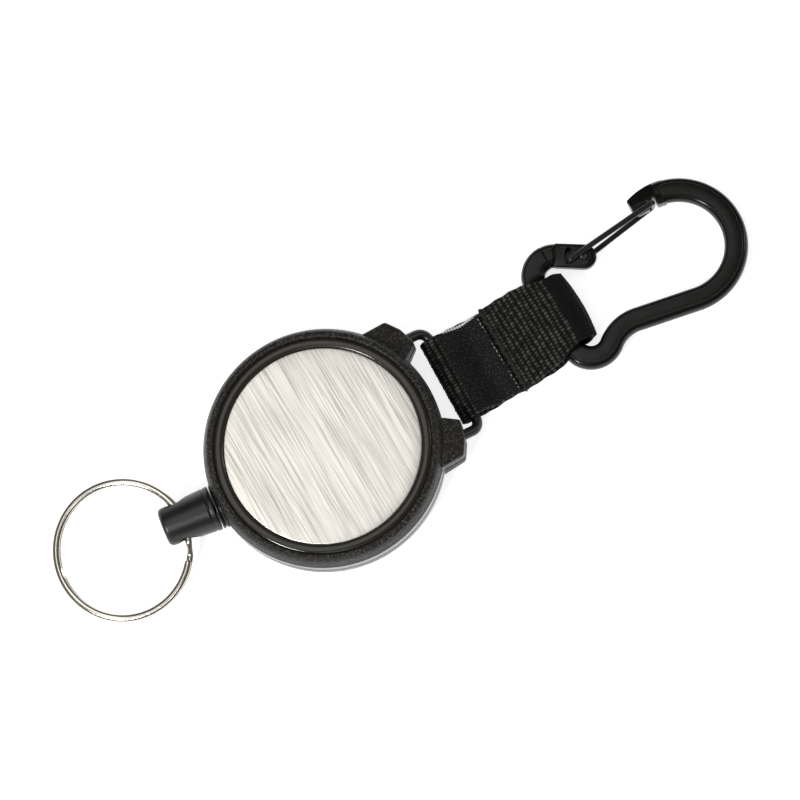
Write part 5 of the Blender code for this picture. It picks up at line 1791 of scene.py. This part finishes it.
    def build(self, effects: Effects) -> None:
        """Builds and dresses the strap, its label and its stitches.

        Args:
            effects: the shared node groups.
        """
        webbing = WebbingFinish("webbing").build(effects)
        satin = LabelFinish("label_weave").build(effects)
        pale = YarnFinish("label_edge_yarn", (0.42, 0.42, 0.40), (0.85, 0.85, 0.82), 0.8, 0.1, 24000.0,
                          0.00004).build(effects)
        thread = YarnFinish("black_thread", (0.0035, 0.0037, 0.0033), (0.022, 0.023, 0.020), 0.7,
                            0.03).build(effects)
        place = Matrix.Translation(self.layout.crossbar())
        dress(placed(self.strip(), place), "strap", Slot.WEBBING, webbing, "webbing_strap")
        dress(placed(self.label(), place), "strap", Slot.LABEL, satin, "strap_label")
        dress(placed(self.selvedge(), place), "strap", Slot.LABEL, pale)
        pale_row = self.stitches("label_stitch_row", 10.95 * MM, 0.36 * MM, 8.9 * MM, 0.98 * MM, 0.105 * MM,
                                 7)
        dull = YarnFinish("label_stitch_yarn", (0.16, 0.16, 0.15), (0.50, 0.50, 0.47), 0.8, 0.05,
                          24000.0).build(effects)
        dress(placed(pale_row, place), "strap", Slot.LABEL, dull)
        black_row = self.stitches("strap_stitch_row", 13.7 * MM, 1.50 * MM, 8.6 * MM, 1.3 * MM, 0.17 * MM, 8)
        dress(placed(black_row, place), "strap", Slot.WEBBING, thread)
        dress(placed(self.end_roll(), place), "strap", Slot.WEBBING, thread)
        dress(placed(self.tuft(), place), "strap", Slot.WEBBING, thread)


@dataclass
class Carabiner:
    """The forged hook and its wire gate, measured from the middle of its base bar."""

    layout: Layout
    hook_x: float = 30.2 * MM
    hook_r: float = 12.0 * MM
    spine: float = radians(11.6)
    hook_end: float = radians(84)
    bend_r: float = 8.5 * MM
    low_y: float = -7.3 * MM
    low_r: float = 4.6 * MM
    high_y: float = 7.5 * MM
    high_r: float = 4.5 * MM
    tab_angle: float = radians(-33)
    tab_length: float = 6.0 * MM
    tab_w: float = 5.15 * MM
    tab_t: float = 2.6 * MM
    bar_w: float = 5.0 * MM
    bar_t: float = 4.6 * MM
    band_half: float = 1.22 * MM
    shoulder: float = 1.82 * MM
    round_from: float = 1.52 * MM
    slim_share: float = 0.845
    nose_tip_x: float = 25.55 * MM
    nose_land: float = 11.4 * MM
    nose_web: float = 9.65 * MM
    nose_t: float = 4.0 * MM
    notch_x: float = 29.95 * MM
    notch_w: float = 1.9 * MM
    gate_wire: float = 0.6 * MM
    pivot: tuple[float, float] = (11.95 * MM, 8.0 * MM)
    heel: tuple[float, float] = (8.55 * MM, 8.7 * MM)
    loop_y: float = 10.45 * MM
    heel_floor: float = 0.17 * MM
    gate_opens: float = radians(40)

    def frame(self) -> Matrix:
        """The middle of the base bar, sloped so that the hook's far end lies just above the table.

        Returns:
            The frame.
        """
        height = self.layout.rest + self.layout.webbing + self.layout.bar_eye
        far = self.hook_x + self.hook_r + self.bar_w / 2
        drop = (height - self.bar_t / 2 - self.layout.rest) / far
        along, across = Vector((sqrt(1 - drop**2), 0, -drop)), Vector((0, 1, 0))
        spot = (self.layout.crossbar()[0] + self.layout.base_bar, 0, height)
        return axes_at(spot, along, across, along.cross(across))

    def middle_line(self) -> Array:
        """The bar's middle: hook arc, straight spine, bend, lower corner, base, upper corner to the tab.

        Returns:
            The points of the path.
        """
        toward = np.array([-cos(self.spine), sin(self.spine)])
        outward = np.array([-sin(self.spine), -cos(self.spine)])
        start = np.array([self.hook_x, 0]) + outward * self.hook_r
        low = np.array([self.low_r, self.low_y])
        from_low = start + outward * self.bend_r - low
        along = -from_low @ toward
        apart = (self.bend_r + self.low_r) ** 2 - (from_low @ from_low - along**2)
        bend = from_low + low + toward * (along - sqrt(apart))
        meet = bend - low
        meet_angle = atan2(meet[1], meet[0])
        parts = [
            arc((self.hook_x, 0), self.hook_r, self.hook_end, -pi / 2 - self.spine, 150),
            arc(tuple(bend), self.bend_r, atan2(-outward[1], -outward[0]), meet_angle + pi, 60),
            arc(tuple(low), self.low_r, meet_angle, -pi, 60),
            arc((self.high_r, self.high_y), self.high_r, pi, pi / 2 + self.tab_angle, 60),
        ]
        path = resample(np.concatenate(parts), 0.18 * MM)
        return np.concatenate([path, np.zeros((len(path), 1))], axis=1)

    def bar(self) -> Obj:
        """The forged bar: round edges, level shoulders and a raised band, which starts with a round end.

        Returns:
            The bar.
        """
        path = self.middle_line()
        along = run_length(path)
        from_start = along - 0.9 * MM
        left = along[-1] - along
        begun = np.clip(from_start / self.band_half, 0, 1)
        band = self.band_half * np.sqrt(np.clip(1 - (1 - begun) ** 2, 1e-4, 1))
        rise = (self.bar_t / 2 - self.shoulder) * np.clip(from_start / (0.18 * MM), 0, 1)
        cut = np.clip((left - 0.1 * MM) / (0.45 * MM), 0, 1)
        toward = smoothstep((np.abs(path[:, 1]) - 6.5 * MM) / (3.5 * MM))
        full = np.where(path[:, 1] > 0, self.tab_w / self.bar_w, 1.0)
        slim = np.where(path[:, 0] < self.low_r, self.slim_share + (full - self.slim_share) * toward, 1.0)
        half = self.bar_w / 2
        turn = np.linspace(0, pi / 2, 13)
        ones = np.ones((len(path), 1))
        edge_x = ones * (self.round_from + (half - self.round_from) * np.cos(turn))
        edge_z = ones * (self.shoulder * np.sin(turn))
        climb = np.linspace(0, 1, 7)
        ramp_x = band[:, None] + 0.2 * MM * (1 - climb)
        ramp_z = self.shoulder + rise[:, None] * smoothstep(climb)
        middle = np.linspace(1, -1, 13)[1:-1]
        mid_x = band[:, None] * middle
        mid_z = self.shoulder + rise[:, None] * (1 + 0.05 * (1 - middle**2))
        upper_x = np.concatenate([edge_x, ramp_x, mid_x, -ramp_x[:, ::-1], -edge_x[:, ::-1]], axis=1)
        upper_z = np.concatenate([edge_z, ramp_z, mid_z, ramp_z[:, ::-1], edge_z[:, ::-1]], axis=1)
        upper_z = upper_z * (self.tab_t / self.bar_t + (1 - self.tab_t / self.bar_t) * cut)[:, None]
        across = np.concatenate([upper_x, upper_x[:, ::-1][:, 1:-1]], axis=1) * slim[:, None]
        upright = np.concatenate([upper_z, -upper_z[:, ::-1][:, 1:-1]], axis=1) * slim[:, None]
        grid = carried(path, together(across, upright), UP)
        return surface("hook_body", with_caps(closed_round(grid)))

    def tab(self) -> Obj:
        """The flat tab, rounded at its end, that the gate turns on.

        Returns:
            The tab.
        """
        start = self.middle_line()[-1]
        ahead = np.array([cos(self.tab_angle), sin(self.tab_angle)])
        side = np.array([-ahead[1], ahead[0]]) * (self.tab_w / 2 - 0.05 * MM)
        back = start[:2] - ahead * self.bar_w / 10
        end = start[:2] + ahead * self.tab_length
        nose = arc(tuple(end), self.tab_w / 2, self.tab_angle - pi / 2, self.tab_angle + pi / 2, 32)
        outline = np.concatenate([[back + side, back - side], nose])
        return slab("hook_tab", outline, -self.tab_t / 2, self.tab_t / 2, 0.5 * MM, 4)

    def nose(self) -> Obj:
        """The thick nose beyond the hook's end, with the notch's far wall.

        Returns:
            The nose.
        """
        outer, inner = self.hook_r + self.bar_w / 2, self.hook_r - self.bar_w / 2
        back = radians(74)
        tip = pi - acos((self.hook_x - self.nose_tip_x) / outer)
        arc_out = arc((self.hook_x, 0), outer, back, tip, 26)
        wall = self.notch_x + self.notch_w / 2
        arc_in = arc((self.hook_x, 0), inner, acos((wall - self.hook_x) / inner), back, 10)
        outline = np.concatenate([arc_out, [(self.nose_tip_x, self.nose_land), (wall, self.nose_land)],
                                  arc_in])
        far = np.hypot(outline[:, 0] - self.hook_x, outline[:, 1]) > outer - 0.05 * MM
        half = np.where(far, 0.95 * MM, self.nose_t / 2 - 0.1 * MM)
        return slab("hook_nose", outline, -half, half, 0.25 * MM, 2)

    def web(self) -> Obj:
        """The thin web under the nose that the gate's wires straddle.

        Returns:
            The web.
        """
        far, high = self.notch_x - self.notch_w / 2, self.nose_land + 0.5 * MM
        corner = (self.nose_land - self.nose_web) / 3
        outline = np.array([(self.nose_tip_x, high), (self.nose_tip_x, self.nose_web + corner),
                            (self.nose_tip_x + corner, self.nose_web), (far, self.nose_web), (far, high)])
        return slab("hook_web", outline, -self.tab_t / 2, self.tab_t / 2, 0.2 * MM, 2)

    def gate_holes(self) -> list[Obj]:
        """The pivot's countersunk hole and the heel's curved slot.

        Returns:
            The two cutters.
        """
        clear = self.gate_wire + 0.1 * MM
        deep, face = self.bar_t, self.tab_t / 2
        sink = 0.3 * MM
        steps = [(0, -deep), (clear + sink, -deep), (clear + sink, -face - 0.01 * MM), (clear, -face + sink)]
        steps += [(clear, face - sink), (clear + sink, face + 0.01 * MM), (clear + sink, deep), (0, deep)]
        hole = lathe("gate_hole", np.array(steps), 40)
        hole.data.transform(Matrix.Translation((*self.pivot, 0)))
        spoke = np.array(self.heel) - np.array(self.pivot)
        radius = float(np.hypot(*spoke))
        start = atan2(spoke[1], spoke[0])
        end = start - self.gate_opens
        last = tuple(np.array(self.pivot) + radius * np.array([cos(end), sin(end)]))
        outline = np.concatenate([
            arc(self.pivot, radius + clear, start, end, 20), arc(last, clear, end, end - pi, 12)[1:-1],
            arc(self.pivot, radius - clear, end, start, 20),
            arc(self.heel, clear, start + pi, start, 12)[1:-1],
        ])
        return [hole, slab("heel_slot", outline, -face + self.heel_floor, deep)]

    def body(self) -> Obj:
        """The bar joined with its tab, nose and web, and cut for the gate.

        Returns:
            The hook.
        """
        steps = [("UNION", self.tab()), ("UNION", self.nose()), ("UNION", self.web())]
        steps += [("DIFFERENCE", cutter) for cutter in self.gate_holes()]
        return placed(combined(self.bar(), steps, 30.0), self.frame())

    def gate(self) -> Obj:
        """The bent wire: through the pivot hole, out below, round the notch, back above, into the slot.

        Returns:
            The gate.
        """
        level = self.tab_t / 2 + self.layout.gap + self.gate_wire
        inside = self.tab_t / 2 - 0.12 * MM
        x, y = self.pivot
        points = [(x, y, inside), (x, y, -level), (self.notch_x, self.loop_y, -level),
                  (self.notch_x, self.loop_y, level), (*self.heel, level),
                  (*self.heel, self.layout.gap - self.tab_t / 2)]
        path = resample(rounded(points, 0.9 * MM, 14), 0.16 * MM)
        return placed(tube("gate_spring_wire", path, self.gate_wire, ACROSS, 24), self.frame())

    def build(self, effects: Effects) -> None:
        """Builds and dresses the hook and the gate.

        Args:
            effects: the shared node groups.
        """
        black = SmoothFinish("anodised_black", colour=(0.0045, 0.0047, 0.0036), roughness=0.14, coat=0.0,
                             worn=0.3,
                             specular=0.26).build(effects)
        wire = SmoothFinish("gate_black", colour=(0.014, 0.014, 0.013), roughness=0.2, metallic=0.2,
                            worn=0.6).build(effects)
        dress(self.body(), "carabiner", Slot.ANODISED, black, "carabiner_body")
        dress(self.gate(), "gate", Slot.BLACK_WIRE, wire, "gate_wire")


@dataclass
class Works:
    """What the closed case holds: the winding as loops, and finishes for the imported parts."""

    layout: Layout
    drum_r: float = 13.5 * MM
    cord_d: float = 1.0 * MM
    turn_gap: float = 0.45 * MM
    throat_s: float = 4.1 * MM
    stop_s: float = 6.65 * MM

    def wound_r(self) -> float:
        """Radius of the middle of the last layer of cord."""
        return self.drum_r + self.layout.gap + 1.5 * self.cord_d

    def outer_layer(self) -> Obj:
        """The last layer of cord: one unbroken helix between the flanges.

        Returns:
            The winding.
        """
        box_low, box_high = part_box("cord_outer_layer")
        middle = (box_low.z + box_high.z) / 2
        room = box_high.z - box_low.z - self.cord_d
        radius = self.wound_r()
        turns = room / (self.cord_d + self.turn_gap)
        angle = np.linspace(0, 2 * pi * turns, int(turns * 72))
        height = middle - room / 2 + room * angle / angle[-1]
        path = together(radius * np.cos(angle), radius * np.sin(angle), height)
        return tube("wound_cord_outer", path, self.cord_d / 2, UP, 12)

    def lead(self) -> Obj:
        """The cord from the winding into the guide: a straight run, a soft turn, and a run through it.

        Returns:
            The cord.
        """
        line, origin = self.layout.exit_line(), Vector(self.layout.exit_spot())
        throat = origin + line * self.throat_s
        stop = origin + line * self.stop_s
        away = atan2(throat.y, throat.x) % (2 * pi)
        wound = self.wound_r()
        turn = away + acos(wound / sqrt(throat.x**2 + throat.y**2))
        touch = Vector((wound * cos(turn), wound * sin(turn)))
        ahead = (Vector(throat.xy) - touch).normalized()
        clear = wound + self.cord_d + self.layout.gap
        start = touch + ahead * sqrt(clear**2 - wound**2)
        box_low, box_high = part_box("cord_outer_layer")
        height = (box_low.z + box_high.z) / 2
        path = rounded([(start.x, start.y, height), tuple(throat), tuple(stop)], 2 * self.cord_d, 10)
        return tube("cord_lead_braid", resample(path, 0.2 * MM), self.cord_d / 2, UP, 12)

    def inner_layer(self) -> Obj:
        """The hidden layer of cord: a turned ring whose outside is ribbed by the turns under it.

        Returns:
            The ring of cord.
        """
        low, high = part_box("cord_inner_layer")
        outer = high.x
        height = np.linspace(low.z, high.z, 61)
        rib = 0.10 * MM * (1 - np.abs(np.sin(pi * (height - low.z) / (self.cord_d + self.turn_gap / 2))))
        wall = together(outer - rib, height)
        inner = self.drum_r + self.layout.gap
        profile = np.concatenate([[(inner, low.z)], wall, [(inner, high.z), (inner, low.z)]])
        return lathe("wound_cord_inner", profile, 96)

    def build(self, effects: Effects) -> None:
        """Builds the winding and gives each packed inner part its finish.

        Args:
            effects: the shared node groups.
        """
        braid = YarnFinish("wound_braid", (0.012, 0.012, 0.012), (0.05, 0.05, 0.05),
                           by_place=True).build(effects)
        dress(self.outer_layer(), "spool", Slot.CORD, braid, "cord_outer_layer")
        dress(self.inner_layer(), "spool", Slot.CORD, braid, "cord_inner_layer")
        dress(self.lead(), "case", Slot.CORD, braid, "cord_lead")
        acetal = SmoothFinish("spool_acetal", colour=(0.70, 0.70, 0.66), roughness=0.4,
                              worn=0.1).build(effects)
        brass = MetalFinish("arbor_brass", (0.70, 0.54, 0.27), 0.26).build(effects)
        spring = MetalFinish("spring_steel", (0.33, 0.35, 0.40), 0.26).build(effects)
        film = SmoothFinish("washer_film", colour=(0.78, 0.78, 0.74), roughness=0.45, worn=0.1).build(effects)
        for node, material in (("spool", acetal), ("spool_cover", acetal), ("arbor", brass),
                               ("power_spring", spring),
                               ("spool_washer", film)):
            coat(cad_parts[node], material)


@dataclass
class Studio:
    """Pale floor, soft lamps and the camera of the photograph."""

    aim: Triple = (18.757 * MM, 1.142 * MM, 6.5 * MM)
    distance: float = 1.2
    tilt: float = radians(11)
    lean: float = radians(1.3)
    roll: float = radians(30.45)
    pixels_per_metre: float = 4800.0
    picture: float = 800.0
    sensor: float = 36.0
    reach: float = 3.0
    below: float = 0.02 * MM
    ceiling: float = 0.10
    ambient: float = 0.25
    glow: float = 0.78

    def camera(self) -> None:
        """The camera: straight down but for its tilt and lean, and rolled so the part lies at a slant."""
        high = Vector((0, cos(self.tilt), sin(self.tilt)))
        plumb = Vector((0, -sin(self.tilt), cos(self.tilt)))
        back = plumb * cos(self.lean) - Vector((1, 0, 0)) * sin(self.lean)
        flat = Vector((1, 0, 0)) * cos(self.lean) + plumb * sin(self.lean)
        right = flat * cos(self.roll) - high * sin(self.roll)
        up = flat * sin(self.roll) + high * cos(self.roll)
        data = bpy.data.cameras.new("photo_camera")
        data.sensor_width = self.sensor
        data.lens = self.pixels_per_metre * self.distance / self.picture * self.sensor
        data.clip_start, data.clip_end = 0.01, 20.0
        camera = linked("photo_camera", data)
        camera.matrix_world = axes_at(tuple(Vector(self.aim) + back * self.distance), right, up, back)
        bpy.context.scene.camera = camera

    def lamp(self, name: str, place: Triple, size: tuple[float, float], power: float) -> None:
        """One rectangular soft lamp that faces the part.

        Args:
            name: name of the lamp.
            place: where it stands.
            size: its width and height.
            power: its power in watts.
        """
        data = bpy.data.lights.new(name, "AREA")
        data.shape = "RECTANGLE"
        data.size, data.size_y = size
        data.energy = power
        lamp = linked(name, data)
        toward = Vector(self.aim) - Vector(place)
        lamp.matrix_world = Matrix.Translation(place) @ toward.to_track_quat("-Z", "Y").to_matrix().to_4x4()

    def seen_white(self, tree: Tree) -> Socket:
        """1 where a camera, glossy or transmission ray looks at the surface.

        Args:
            tree: the node tree it is made in.

        Returns:
            The share's socket.
        """
        path = tree.node("ShaderNodeLightPath")
        glossy = tree.math("MAXIMUM", path.outputs["Is Camera Ray"], path.outputs["Is Glossy Ray"])
        return tree.math("MAXIMUM", glossy, path.outputs["Is Transmission Ray"])

    def floor(self) -> None:
        """A wide pale floor, which glows a little where it is looked at and keeps the part's shadow."""
        mesh = bpy.data.meshes.new("studio_floor")
        signs = ((-1, -1), (1, -1), (1, 1), (-1, 1))
        corners = [(x * self.reach, y * self.reach, -self.below) for x, y in signs]
        mesh.from_pydata(corners, [], [(0, 1, 2, 3)])
        floor = linked("studio_floor", mesh)
        material = bpy.data.materials.new("pale_floor")
        material.use_nodes = True
        tree = Tree(material.node_tree)
        shader = material.node_tree.nodes["Principled BSDF"]
        shader.inputs["Base Color"].default_value = (0.62, 0.62, 0.62, 1.0)
        shader.inputs["Roughness"].default_value = 0.9
        shader.inputs["Specular IOR Level"].default_value = 0.0
        glow = tree.node("ShaderNodeEmission", None, Color=(1.0, 1.0, 1.0, 1.0),
                         Strength=tree.times(self.seen_white(tree), self.glow))
        both = tree.node("ShaderNodeAddShader", None, in0=shader.outputs[0], in1=glow.outputs[0])
        output = material.node_tree.nodes["Material Output"]
        material.node_tree.links.new(both.outputs[0], output.inputs["Surface"])
        mesh.materials.append(material)

    def world(self) -> None:
        """White surroundings where they are looked at, and a dimmer even light from them otherwise."""
        world = bpy.data.worlds.new("soft_studio")
        bpy.context.scene.world = world
        world.use_nodes = True
        tree = Tree(world.node_tree)
        background = world.node_tree.nodes["Background"]
        background.inputs["Color"].default_value = (1.0, 1.0, 1.0, 1.0)
        toward = tree.node("ShaderNodeTexCoord").outputs["Generated"]
        way = tree.node("ShaderNodeSeparateXYZ", None, Vector=toward)
        room = tree.spread(way.outputs["Z"], 0.02, 0.36, 1.0, self.ceiling)
        path = tree.node("ShaderNodeLightPath")
        seen = tree.math("MAXIMUM", path.outputs["Is Camera Ray"], path.outputs["Is Transmission Ray"])
        unseen = tree.spread(path.outputs["Is Glossy Ray"], 0.0, 1.0, self.ambient, room)
        strength = tree.spread(seen, 0.0, 1.0, unseen, 1.0)
        world.node_tree.links.new(strength, background.inputs["Strength"])

    def build(self) -> None:
        """Sets the camera, the floor, the lamps and the look of the picture."""
        self.camera()
        self.floor()
        self.world()
        self.lamp("overhead_soft", (-0.09, 0.165, 0.80), (0.56, 0.43), 0.95)
        self.lamp("key_soft", (-0.48, -0.24, 0.63), (0.15, 0.18), 4.6)
        self.lamp("front_soft", (-0.20, -0.36, 0.74), (0.16, 0.16), 0.20)
        self.lamp("right_strip", (0.60, -0.10, 0.40), (0.08, 0.45), 0.55)
        bpy.context.scene.view_settings.view_transform = "Standard"


def main() -> None:
    """Builds the studio and each sub-assembly in order."""
    logging.basicConfig(level=logging.INFO, format="%(name)s: %(message)s")
    effects = Effects()
    layout = Layout()
    Studio().build()
    for part in (Case(layout), CordEnd(layout), Bail(layout), Strap(layout), Carabiner(layout),
                 Works(layout)):
        part.build(effects)
    bpy.context.view_layer.update()


if __name__ == "__main__":
    main()
